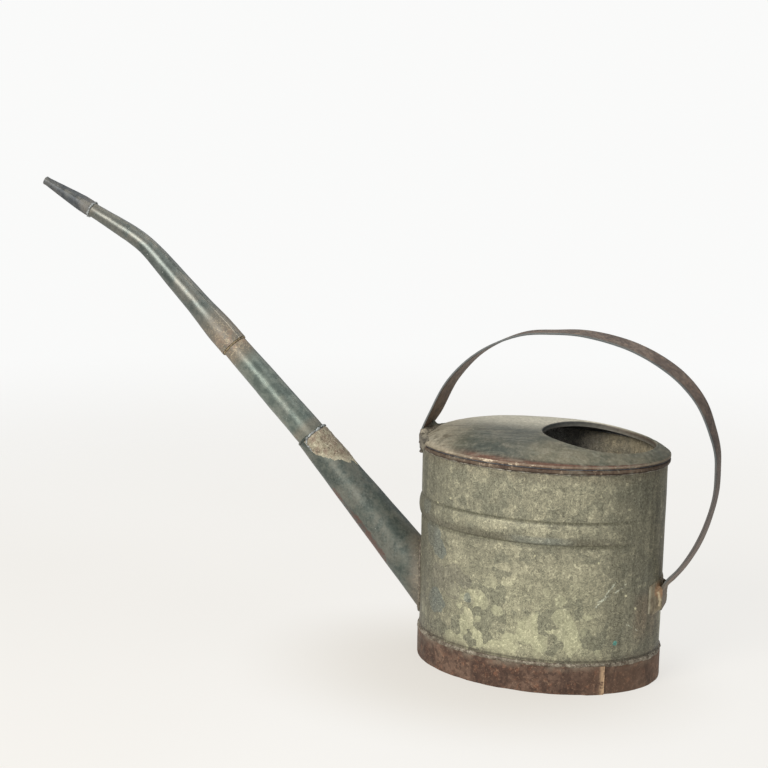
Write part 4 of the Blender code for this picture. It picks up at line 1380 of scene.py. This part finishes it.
# Steps of the strap's line between two control places, and its places on the front leg
STRAP_STEPS = 12
FRONT_LEG_PLACES = 90


def through_points(controls):
    """Smooth line through the control places, timed by the root of the gaps between them."""
    places = [Vector(c) for c in controls]
    places = [places[0] * 2.0 - places[1]] + places + [places[-1] * 2.0 - places[-2]]
    line = []
    for k in range(1, len(places) - 2):
        p0, p1, p2, p3 = places[k - 1:k + 3]
        t1 = max(1e-6, (p1 - p0).xy.length) ** 0.5
        t2 = t1 + max(1e-6, (p2 - p1).xy.length) ** 0.5
        t3 = t2 + max(1e-6, (p3 - p2).xy.length) ** 0.5
        for step in range(STRAP_STEPS):
            t = t1 + (t2 - t1) * step / STRAP_STEPS
            a1 = p0 * ((t1 - t) / t1) + p1 * (t / t1)
            a2 = p1 * ((t2 - t) / (t2 - t1)) + p2 * ((t - t1) / (t2 - t1))
            a3 = p2 * ((t3 - t) / (t3 - t2)) + p3 * ((t - t2) / (t3 - t2))
            b1 = a1 * ((t2 - t) / t2) + a2 * (t / t2)
            b2 = a2 * ((t3 - t) / (t3 - t1)) + a3 * ((t - t1) / (t3 - t1))
            line.append(b1 * ((t2 - t) / (t2 - t1)) + b2 * ((t - t1) / (t2 - t1)))
    line.append(places[-2])
    return line


def strap_line():
    """The strap's middle line: a straight front leg, and a rear leg kept off the wall."""
    line = through_points(strap_controls())
    for place in line:
        if place.y < RIM_TOP_Z and place.x > 0.0:
            place.x = max(place.x, heel_x())
        elif place.y < RIM_TOP_Z:
            place.x = strap_front_x()
    return line


def strap_outline():
    """Across and depth places round the strap's section, with worn edges."""
    half = STRAP_WIDTH / 2.0
    thick = STRAP_THICKNESS / 2.0
    face = [-0.93, -0.7, -0.4, 0.0, 0.4, 0.7, 0.93]
    outline = [(half * u, -thick) for u in face]
    outline += [(half * 0.985, -thick * 0.72), (half, 0.0), (half * 0.985, thick * 0.72)]
    outline += [(half * u, thick) for u in reversed(face)]
    outline += [(-half * 0.985, thick * 0.72), (-half, 0.0), (-half * 0.985, -thick * 0.72)]
    return outline


class CAN_OT_strap(bpy.types.Operator):
    """Make the flat handle strap, slightly twisted and worn at its edges"""
    bl_idname = "can.strap"
    bl_label = "Handle strap"

    def execute(self, context):
        line = strap_line()
        outline = strap_outline()
        sections = []
        edge_marks = []
        inner_marks = []
        for k, place in enumerate(line):
            before = line[max(0, k - 1)]
            after = line[min(len(line) - 1, k + 1)]
            way = Vector((after.x - before.x, 0.0, after.y - before.y)).normalized()
            out = Vector((-way.z, 0.0, way.x))
            twist = radians(place.z)
            side = Vector((0.0, 1.0, 0.0))
            wide = side * cos(twist) + out * sin(twist)
            deep = out * cos(twist) - side * sin(twist)
            centre = at(place.x, 0.0, place.y)
            section = []
            for u, v in outline:
                edge = abs(u) / (STRAP_WIDTH / 2.0)
                spot = centre + wide * u
                worn = 1.0 + (lumpy(spot, 45.0) * 0.018 + lumpy(spot, 160.0, 2.0) * 0.012) * edge
                flat = v * (1.0 + lumpy(spot, 60.0, 9.0) * 0.10)
                section.append(centre + wide * (u * min(worn, 1.02)) + deep * flat)
                edge_marks.append(smooth_step(0.90, 1.0, edge))
                inner_marks.append(1.0 if v < 0.0 else 0.0)
            sections.append(section)
        marks = {"edge": edge_marks, "inner": inner_marks}
        strip_piece("handle_band", sections, "strap", ("handle_strap",), marks, 50.0)
        return {"FINISHED"}


# Solder

def bead_tree():
    """Node tree that lays a lumpy bead of solder along every edge line it is given."""
    tree = bpy.data.node_groups.new("solder_bead", "GeometryNodeTree")
    face = tree.interface
    face.new_socket("Line", in_out="INPUT", socket_type="NodeSocketGeometry")
    for name, kind in (("Radius", "Float"), ("Spacing", "Float"), ("Lumps", "Float"),
                       ("Lump Scale", "Float"), ("Seed", "Float"), ("Finish", "Material")):
        face.new_socket(name, in_out="INPUT", socket_type="NodeSocket" + kind)
    face.new_socket("Bead", in_out="OUTPUT", socket_type="NodeSocketGeometry")
    nodes = tree.nodes
    links = tree.links
    given = nodes.new("NodeGroupInput").outputs
    result = nodes.new("NodeGroupOutput").inputs

    def node(kind, values, settings=None):
        made = nodes.new(kind)
        for name, value in (settings or {}).items():
            setattr(made, name, value)
        for key, value in values.items():
            if isinstance(value, bpy.types.NodeSocket):
                links.new(value, made.inputs[key])
            else:
                made.inputs[key].default_value = value
        return made

    curve = node("GeometryNodeMeshToCurve", {"Mesh": given["Line"]})
    even = node("GeometryNodeResampleCurve",
                {"Curve": curve.outputs[0], "Length": given["Spacing"]}, {"mode": "LENGTH"})
    circle = node("GeometryNodeCurvePrimitiveCircle",
                  {"Resolution": 10, "Radius": given["Radius"]})
    body = node("GeometryNodeCurveToMesh", {"Curve": even.outputs[0],
                                            "Profile Curve": circle.outputs[0], "Fill Caps": True})
    place = node("GeometryNodeInputPosition", {})
    lumps = node("ShaderNodeTexNoise", {"Vector": place.outputs[0], "W": given["Seed"],
                                        "Scale": given["Lump Scale"], "Detail": 3.0},
                 {"noise_dimensions": "4D"})
    centred = node("ShaderNodeMath", {0: lumps.outputs[0], 1: 0.5}, {"operation": "SUBTRACT"})
    doubled = node("ShaderNodeMath", {0: centred.outputs[0], 1: 3.2}, {"operation": "MULTIPLY"})
    share = node("ShaderNodeMath", {0: doubled.outputs[0], 1: given["Lumps"]},
                 {"operation": "MULTIPLY"})
    depth = node("ShaderNodeMath", {0: share.outputs[0], 1: given["Radius"]},
                 {"operation": "MULTIPLY"})
    normal = node("GeometryNodeInputNormal", {})
    shift = node("ShaderNodeVectorMath", {0: normal.outputs[0], "Scale": depth.outputs[0]},
                 {"operation": "SCALE"})
    moved = node("GeometryNodeSetPosition",
                 {"Geometry": body.outputs[0], "Offset": shift.outputs[0]})
    smooth = node("GeometryNodeSetShadeSmooth", {"Geometry": moved.outputs[0]})
    real = node("GeometryNodeRealizeInstances", {"Geometry": smooth.outputs[0]})
    painted = node("GeometryNodeSetMaterial", {"Geometry": real.outputs[0],
                                               "Material": given["Finish"]})
    links.new(painted.outputs[0], result["Bead"])
    return tree


def solder_bead(name, line, radius, finish, replaced=(), closed=True,
                scale=260.0, lumps=1.0):
    """Solder laid along a line of points, made by the node tree and turned into a plain mesh."""
    tree = bpy.data.node_groups.get("solder_bead") or bead_tree()
    edges = [(k, k + 1) for k in range(len(line) - 1)]
    if closed:
        edges.append((len(line) - 1, 0))
    guide = bpy.data.meshes.new(name)
    guide.from_pydata([tuple(p) for p in line], edges, [])
    piece = bpy.data.objects.new(name, guide)
    bpy.context.scene.collection.objects.link(piece)
    bead = piece.modifiers.new("bead", "NODES")
    bead.node_group = tree
    given = {
        "Radius": radius,
        "Spacing": radius * 0.55,
        "Lumps": sizes().solder_lumps * lumps,
        "Lump Scale": scale,
        "Seed": float(sizes().seed),
        "Finish": finish_for(finish),
    }
    for socket in tree.interface.items_tree:
        if socket.in_out == "INPUT" and socket.name in given:
            bead[socket.identifier] = given[socket.name]
    graph = bpy.context.evaluated_depsgraph_get()
    mesh = bpy.data.meshes.new_from_object(piece.evaluated_get(graph))
    piece.modifiers.clear()
    piece.data = mesh
    mesh.name = name
    if signed_volume(mesh) < 0.0:
        mesh.flip_normals()
    place_piece(piece, replaced)


def oval_line(offset, z):
    """Line round the body at this height, this far outside its oval."""
    return [oval_point(turn, offset, z) for turn in turns_round(240)]


def ring_line(end, back, angle, radius):
    """Ring round the spout, this far back from the end of one of its pipes."""
    along, across = spout_frame(angle)
    return [circle_point(end + along * back, across, radius, t) for t in turns_round(60)]


def root_line(extra):
    """Where the spout meets the wall."""
    line = []
    for turn in turns_round(96):
        top, low = cone_line(turn, extra)
        line.append(wall_hit(top, low, extra))
    return line


class CAN_OT_beads(bpy.types.Operator):
    """Lay the solder along the foot, the rim, the spout's root and its joints"""
    bl_idname = "can.beads"
    bl_label = "Solder beads"

    def execute(self, context):
        solder_bead("foot_solder_bead", oval_line(-0.0005, FOOT_HEIGHT + 0.0003), 0.0025,
                    "foot_line", ("foot_solder",), scale=130.0, lumps=0.62)
        solder_bead("rim_solder_line", oval_line(0.0004, RIM_BOTTOM_Z - 0.0004), 0.0010,
                    "dull", scale=220.0)
        solder_bead("spout_root_bead", root_line(0.0006), 0.0017,
                    "root", ("root_solder",))
        ring = ring_line(cone_end(), 0.0014, CONE_ANGLE, TUBE_FOOT_RADIUS + 0.0004)
        solder_bead("lower_joint_bead", ring, 0.0011,
                    "cone", ("lower_joint_solder",))
        ring = ring_line(tube_end(), -0.0010, TUBE_ANGLE, TUBE_TOP_RADIUS + 0.0005)
        solder_bead("upper_joint_bead", ring, 0.0009,
                    "stained", ("upper_joint_solder",))
        ring = ring_line(nozzle_foot(), -0.0006, NOZZLE_ANGLE, NECK_TOP_RADIUS + 0.0004)
        solder_bead("nozzle_joint_bead", ring, 0.0012,
                    "bright", ("nozzle_solder",), scale=320.0, lumps=2.0)
        return {"FINISHED"}


def blend_table(table, value):
    """Value read off a table of pairs by straight lines between them."""
    if value <= table[0][0]:
        return table[0][1]
    for (low, first), (high, second) in zip(table, table[1:]):
        if value <= high:
            return first + (second - first) * (value - low) / (high - low)
    return table[-1][1]


# How far the smeared solder runs down the cone, by turn round it in degrees
SMEAR_REACH = ((-104.0, 0.012), (-96.0, 0.019), (-80.0, 0.026), (-55.0, 0.036),
               (-25.0, 0.046), (5.0, 0.052), (30.0, 0.030), (40.0, 0.004))


def cone_spot(down, turn, lift):
    """A place on the cone, this far down from its upper end."""
    along, across = spout_frame(CONE_ANGLE)
    distance = CONE_LENGTH - down
    centre = spout_root() + along * distance
    return circle_point(centre, across, cone_radius(distance) + lift, turn)


def make_joint_smear():
    """Solder wiped down over the cone's upper end."""
    rows = 76
    columns = 40
    first, last = SMEAR_REACH[0][0], SMEAR_REACH[-1][0]
    sections = []
    border = []
    for i in range(rows + 1):
        degrees = first + (last - first) * i / rows
        turn = radians(degrees)
        reach = blend_table(SMEAR_REACH, degrees)
        reach *= 1.0 + lumpy((turn, 0.0, 0.0), 3.4) * 0.10 + lumpy((turn, 0.0, 0.0), 11.0) * 0.06
        side = rise_and_fall(first, first + 7.0, last - 12.0, last, degrees)
        top = []
        for j in range(columns + 1):
            share = j / columns
            down = 0.0006 + reach * share
            spot = cone_spot(down, turn, 0.0)
            body = rise_and_fall(0.0, 0.06, 0.86, 1.0, share) * side
            lumps = 0.55 + lumpy(spot, 120.0) * 0.45 + lumpy(spot, 330.0, 2.0) * 0.35
            welt = exp(-((share - 0.90) / 0.05) ** 2) * side
            lift = 0.00012 + 0.00085 * body * max(0.1, lumps) + 0.0004 * welt
            top.append(cone_spot(down, turn, lift))
            near_side = 1.0 - smooth_step(first, first + 6.0, degrees)
            border.append(max(smooth_step(0.84, 0.94, share), near_side) * 0.7)
        low = [cone_spot(0.0006 + reach * j / columns, turn, -0.0002) for j in range(columns + 1)]
        sections.append(top + low[::-1])
        border += [0.0] * len(low)
    strip_piece("joint_solder_smear", sections, "tan", marks={"border": border})


def lay_joint_rim():
    """Bright bead along the joint's upper edge that turns down beside the smeared solder."""
    line = []
    for k in range(60):
        turn = radians(30.0 - 112.0 * k / 59.0)
        line.append(cone_spot(-0.0006, turn, -0.0002))
    for k in range(1, 24):
        share = k / 23.0
        turn = radians(-82.0 - 19.0 * sin(pi / 2.0 * min(1.0, share * 2.2)))
        line.append(cone_spot(-0.0006 + 0.0150 * share, turn, 0.0004 - 0.0008 * share))
    solder_bead("joint_rim_bead", line, 0.0012, "bright",
                closed=False, scale=420.0, lumps=2.3)


def leg_face_x(line, y, z, side):
    """The strap's front leg at this height: its inner face (side 1) or outer face (side -1)."""
    leg = min(line[:FRONT_LEG_PLACES], key=lambda place: abs(place.y - z))
    return leg.x - y * tan(radians(leg.z)) + side * STRAP_THICKNESS / 2.0


# Where the solder heap ends on the near side and on the far side of the front leg
MOUND_ENDS = (-0.0440, 0.0172)
# Shares of the heap's slope up from the cover to its crest
MOUND_SLOPE = (0.12, 0.24, 0.36, 0.48, 0.60, 0.72, 0.84, 0.94)


def make_front_mound():
    """Lumpy solder wrapped over the strap's front leg, the rim and the cover's edge."""
    s = sizes()
    sections = []
    greens = []
    edges = []
    stations = 110
    near, far = MOUND_ENDS
    strap_y = STRAP_WIDTH / 2.0
    line = strap_line()
    for k in range(stations + 1):
        y = near + (far - near) * k / stations
        share = abs(y) / (far if y > 0.0 else -near)
        beyond = smooth_step(0.0150, 0.0250, -y)
        full = sqrt(max(0.0, 1.0 - (share * 0.98) ** 2)) * (1.0 - 0.50 * beyond)
        bow = sqrt(1.0 - (y / (s.half_width + HEM_OUTER)) ** 2)
        edge = -(s.half_length + HEM_OUTER) * bow
        held = 1.0 - smooth_step(strap_y - 0.0002, strap_y + 0.0020, abs(y))
        wobble = lumpy((0.0, y, 0.0), 230.0)
        low_z = RIM_BOTTOM_Z - 0.0098 + wobble * 0.0010
        low_z += 0.0092 * smooth_step(strap_y - 0.0005, strap_y + 0.0160, abs(y))
        lump_up = smooth_step(-0.0010, 0.0060, y)
        crest = RIM_TOP_Z + 0.0010 + 0.0022 * full
        crest += (0.0050 + 0.0050 * lump_up + 0.0030 * wobble) * full * held
        inner = edge + 0.0012 + (leg_face_x(line, y, crest, 1.0) - edge - 0.0012) * held
        start = max(inner, edge) + 0.0020 + 0.0110 * full
        section = [at(start, y, dome_height(start, y))]
        for part in MOUND_SLOPE:
            x = start + (inner - start) * part
            floor_z = dome_height(x, y) if x > edge else RIM_TOP_Z
            lump = lumpy((x, y, 0.0), 210.0, 4.0) * 0.0011 + lumpy((x, y, 0.0), 480.0) * 0.0005
            z = floor_z + (crest - floor_z) * part ** 2.4 + lump * full + 0.0002
            section.append(at(x, y, z))
        section.append(at(inner, y, crest))
        rows = 16
        for j in range(rows + 1):
            z = crest - 0.0006 + (low_z - crest + 0.0006) * j / rows
            outer = edge - 0.0004 + (leg_face_x(line, y, z, -1.0) - edge + 0.0004) * held
            below = smooth_step(RIM_BOTTOM_Z + 0.0004, RIM_BOTTOM_Z - 0.0020, z)
            outer += 0.0014 * below
            spot = (0.0, y, z)
            skin = 0.0003 + (lumpy(spot, 240.0, 7.0) + lumpy(spot, 560.0)) * 0.0004
            skin *= smooth_step(0.0, 0.25, j / rows) * full
            spur = 0.0028 * exp(-((y + 0.0120) / 0.0014) ** 2)
            spur *= exp(-((z - RIM_BOTTOM_Z + 0.0090) / 0.0011) ** 2)
            section.append(at(outer - max(skin, -0.0003) - spur, y, z))
        section.append(at(edge + 0.0031, y, low_z))
        section.append(at(edge + 0.0031, y, RIM_TOP_Z - 0.0006))
        section.append(at(start - 0.0004, y, dome_height(start - 0.0004, y) - 0.0006))
        greens += [lump_up if place.z > RIM_TOP_Z else 0.0 for place in section]
        dark = 1.0 - smooth_step(strap_y + 0.0008, strap_y + 0.0026, -y)
        edges += [dark if 10 <= row <= 10 + rows else 0.0 for row in range(len(section))]
        sections.append(section)
    strip_piece("front_solder_mound", sections, "mound", ("front_solder",),
                {"green": greens, "edge": edges})


def make_heel_solder(name, side):
    """Solder filling the step between the heel and the wall on one side of the strap."""
    sections = []
    stations = 30
    low = HEEL_TOP_Z - HEEL_LENGTH - 0.0030
    high = HEEL_TOP_Z + 0.0035
    face = heel_x() + STRAP_THICKNESS / 2.0
    strap_y = STRAP_WIDTH / 2.0
    out_y = strap_y + 0.0085
    for k in range(stations + 1):
        share = k / stations
        z = low + (high - low) * share
        full = rise_and_fall(0.0, 0.16, 0.88, 1.0, share)
        top = face - 0.0042 + 0.0044 * full
        section = []
        for part in (0.0, 0.2, 0.4, 0.6, 0.8, 1.0):
            y = out_y + (strap_y + 0.0002 - out_y) * part
            wall = sizes().half_length * sqrt(1.0 - (y / sizes().half_width) ** 2) + 0.0006
            x = wall + (top - wall) * part ** 1.5 * max(0.05, full)
            lump = lumpy((side, y, z), 200.0) * 0.0005 + lumpy((side, y, z), 460.0) * 0.0003
            section.append(at(x + lump * full, side * y, z))
        section.append(at(top, side * (strap_y - 0.0016), z))
        section.append(at(top - 0.0030, side * (strap_y - 0.0016), z))
        section.append(at(sizes().half_length * 0.966, side * out_y, z))
        sections.append(section if side > 0 else section[::-1])
    strip_piece(name, sections, "heel")


PATCH_HALF_ANGLE = radians(19.0)
PATCH_BOTTOM_Z = 0.0725
PATCH_TOP_Z = 0.1055


def make_rear_patch():
    """Tan patch soldered to the wall under the handle's heel."""
    sections = []
    border = []
    stations = 80
    middle = (PATCH_BOTTOM_Z + PATCH_TOP_Z) / 2.0
    half = (PATCH_TOP_Z - PATCH_BOTTOM_Z) / 2.0
    for k in range(stations + 1):
        share = -1.0 + 2.0 * k / stations
        angle = PATCH_HALF_ANGLE * share
        thick = PATCH_SHEET * (1.0 - 0.75 * abs(share) ** 6)
        tall = half * (1.0 - 0.16 * abs(share) ** 4)
        section = [oval_point(angle, GAP * 0.3, middle - tall)]
        for j in range(21):
            way = -1.0 + 2.0 * j / 20.0
            spot = oval_point(angle, 0.0, middle + tall * way)
            round_off = 1.0 - 0.7 * abs(way) ** 8
            lump = lumpy(spot, 150.0) * 0.22 + lumpy(spot, 420.0, 3.0) * 0.16
            reach = GAP + thick * round_off * (0.9 + lump * 0.5)
            section.append(oval_point(angle, reach, middle + tall * way))
        section.append(oval_point(angle, GAP * 0.3, middle + tall))
        border += [smooth_step(0.90, 0.97, abs(share))] * len(section)
        sections.append(section)
    strip_piece("rear_solder_patch", sections, "heel", ("rear_patch",),
                {"border": border})


class CAN_OT_patches(bpy.types.Operator):
    """Make the wiped solder on the spout, the front mound and the rear patch"""
    bl_idname = "can.patches"
    bl_label = "Solder patches"

    def execute(self, context):
        make_joint_smear()
        lay_joint_rim()
        make_front_mound()
        make_rear_patch()
        make_heel_solder("heel_solder_near", -1.0)
        make_heel_solder("heel_solder_far", 1.0)
        return {"FINISHED"}


class CAN_OT_base(bpy.types.Operator):
    """Finish the base pan that the solids already give"""
    bl_idname = "can.base"
    bl_label = "Base pan"

    def execute(self, context):
        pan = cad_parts["base_plate"]
        pan.data.materials.clear()
        pan.data.materials.append(finish_for("base"))
        return {"FINISHED"}


# Stage

def floor_finish():
    """Pale paper that fades into the backdrop's white."""
    s = Shade("pale_floor")
    side, y, _ = s.axes()
    away = s.vector("LENGTH", s.place, output="Value")
    tone = s.noise(1.6, 3.0, 0.5)
    s.colour = s.mix(tone, tint(100, 97, 92), tint(106, 103, 98))
    s.finish(0.95, 0.0, tone, 0.0, 0.001)
    s.shader.inputs["Specular IOR Level"].default_value = 0.1
    # Painted contact shadow: the floor's glow is darker close to the can, most in front of its
    # foot.
    from_foot = s.vector("SUBTRACT", s.place, tuple(at(-0.05, -0.05, 0.0)))
    flat = s.vector("MULTIPLY", from_foot, (6.8, 8.6, 0.0))
    close = s.vector("LENGTH", flat, output="Value").step(1.9, 0.5)
    glow = s.mix(tone, (0.758, 0.746, 0.722), (0.772, 0.764, 0.744))
    # Painted shade: the glow is a little darker towards the left.
    left = side.step(-0.05, -0.40) * y.step(0.40, 0.0)
    glow = s.mix(left * 0.5, glow, (0.722, 0.706, 0.676))
    glow = s.mix(close * 0.75, glow, (0.610, 0.580, 0.530))
    s.set_input(s.shader.inputs["Emission Color"], glow)
    s.shader.inputs["Emission Strength"].default_value = 1.0
    clear = s.nodes.new("ShaderNodeBsdfTransparent")
    blend = s.nodes.new("ShaderNodeMixShader")
    s.links.new(away.step(0.45, 1.9).socket, blend.inputs[0])
    s.links.new(s.shader.outputs[0], blend.inputs[1])
    s.links.new(clear.outputs[0], blend.inputs[2])
    s.links.new(blend.outputs[0], s.nodes["Material Output"].inputs["Surface"])
    return s.material


def make_world():
    """White backdrop to the camera, and a softer grey white to everything else."""
    world = bpy.data.worlds.new("studio")
    bpy.context.scene.world = world
    world.use_nodes = True
    nodes = world.node_tree.nodes
    links = world.node_tree.links
    seen = nodes["Background"]
    seen.inputs["Color"].default_value = (0.955, 0.957, 0.950, 1.0)
    seen.inputs["Strength"].default_value = 1.0
    around = nodes.new("ShaderNodeBackground")
    around.inputs["Color"].default_value = (0.93, 0.96, 1.0, 1.0)
    around.inputs["Strength"].default_value = 0.36
    path = nodes.new("ShaderNodeLightPath")
    blend = nodes.new("ShaderNodeMixShader")
    links.new(path.outputs["Is Camera Ray"], blend.inputs[0])
    links.new(around.outputs[0], blend.inputs[1])
    links.new(seen.outputs[0], blend.inputs[2])
    links.new(blend.outputs[0], nodes["World Output"].inputs["Surface"])


def soft_light(name, place, target, width, height, power, colour):
    """Broad lamp at a place, turned towards its target."""
    lamp = bpy.data.lights.new(name, "AREA")
    lamp.shape = "RECTANGLE"
    lamp.size = width
    lamp.size_y = height
    lamp.energy = power
    lamp.color = colour
    item = bpy.data.objects.new(name, lamp)
    bpy.context.scene.collection.objects.link(item)
    item.location = place
    item.rotation_euler = (target - place).to_track_quat("-Z", "Y").to_euler()


def make_camera():
    """Camera that sees the can as the photograph does."""
    ahead = Vector((-sin(CAMERA_AZIMUTH), cos(CAMERA_AZIMUTH), 0.0))
    right = Vector((cos(CAMERA_AZIMUTH), sin(CAMERA_AZIMUTH), 0.0))
    upright = Vector((0.0, 0.0, 1.0))
    forward = ahead * cos(CAMERA_PITCH) - upright * sin(CAMERA_PITCH)
    over = ahead * sin(CAMERA_PITCH) + upright * cos(CAMERA_PITCH)
    side = right * cos(CAMERA_ROLL) + over * sin(CAMERA_ROLL)
    top = over * cos(CAMERA_ROLL) - right * sin(CAMERA_ROLL)
    lens = bpy.data.cameras.new("photo_camera")
    lens.lens = CAMERA_LENS
    lens.sensor_width = 36.0
    item = bpy.data.objects.new("photo_camera", lens)
    bpy.context.scene.collection.objects.link(item)
    turn = Matrix((side, top, -forward)).transposed().to_4x4()
    item.matrix_world = Matrix.Translation(at(*CAMERA_PLACE)) @ turn
    bpy.context.scene.camera = item


FLOOR_RADIUS = 4.0


class CAN_OT_stage(bpy.types.Operator):
    """Set the pale floor, the soft lights and the camera"""
    bl_idname = "can.stage"
    bl_label = "Stage"

    def execute(self, context):
        ring = [(FLOOR_RADIUS * cos(t), FLOOR_RADIUS * sin(t), 0.0)
                for t in turns_round(96)]
        mesh = bpy.data.meshes.new("floor")
        mesh.from_pydata(ring, [], [tuple(range(len(ring)))])
        mesh.materials.append(floor_finish())
        floor = bpy.data.objects.new("floor", mesh)
        context.scene.collection.objects.link(floor)
        make_world()
        aim = at(-0.02, 0.0, 0.16)
        soft_light("key_light", at(-0.62, -1.50, 1.14), aim, 0.9, 0.8, 30.0, (1.0, 0.985, 0.96))
        soft_light("top_light", at(0.15, 0.10, 1.9), aim, 1.6, 1.2, 9.0, (0.97, 0.985, 1.0))
        soft_light("back_light", at(0.10, 1.50, 1.40), aim, 2.2, 0.8, 5.0, (1.0, 0.99, 0.97))
        make_camera()
        context.scene.view_settings.view_transform = "Standard"
        return {"FINISHED"}


class CAN_PT_panel(bpy.types.Panel):
    bl_idname = "CAN_PT_panel"
    bl_label = "Watering can"
    bl_space_type = "VIEW_3D"
    bl_region_type = "UI"
    bl_category = "Watering Can"

    def draw(self, context):
        layout = self.layout
        for group in (context.scene.can_sizes, context.scene.can_colours):
            for name in group.__annotations__:
                layout.prop(group, name)
        for operator in OPERATORS:
            layout.operator(operator.bl_idname)


OPERATORS = (CAN_OT_stage, CAN_OT_base, CAN_OT_wall, CAN_OT_foot, CAN_OT_cover, CAN_OT_spout,
             CAN_OT_strap, CAN_OT_beads, CAN_OT_patches)
GROUPS = (CanSizes, CanColours)


def register():
    for item in GROUPS + OPERATORS + (CAN_PT_panel,):
        bpy.utils.register_class(item)
    bpy.types.Scene.can_sizes = bpy.props.PointerProperty(type=CanSizes)
    bpy.types.Scene.can_colours = bpy.props.PointerProperty(type=CanColours)


def unregister():
    del bpy.types.Scene.can_colours
    del bpy.types.Scene.can_sizes
    for item in reversed(GROUPS + OPERATORS + (CAN_PT_panel,)):
        bpy.utils.unregister_class(item)


def main():
    register()
    for operator in OPERATORS:
        getattr(bpy.ops.can, operator.bl_idname.split(".")[1])()


if __name__ == "__main__":
    main()
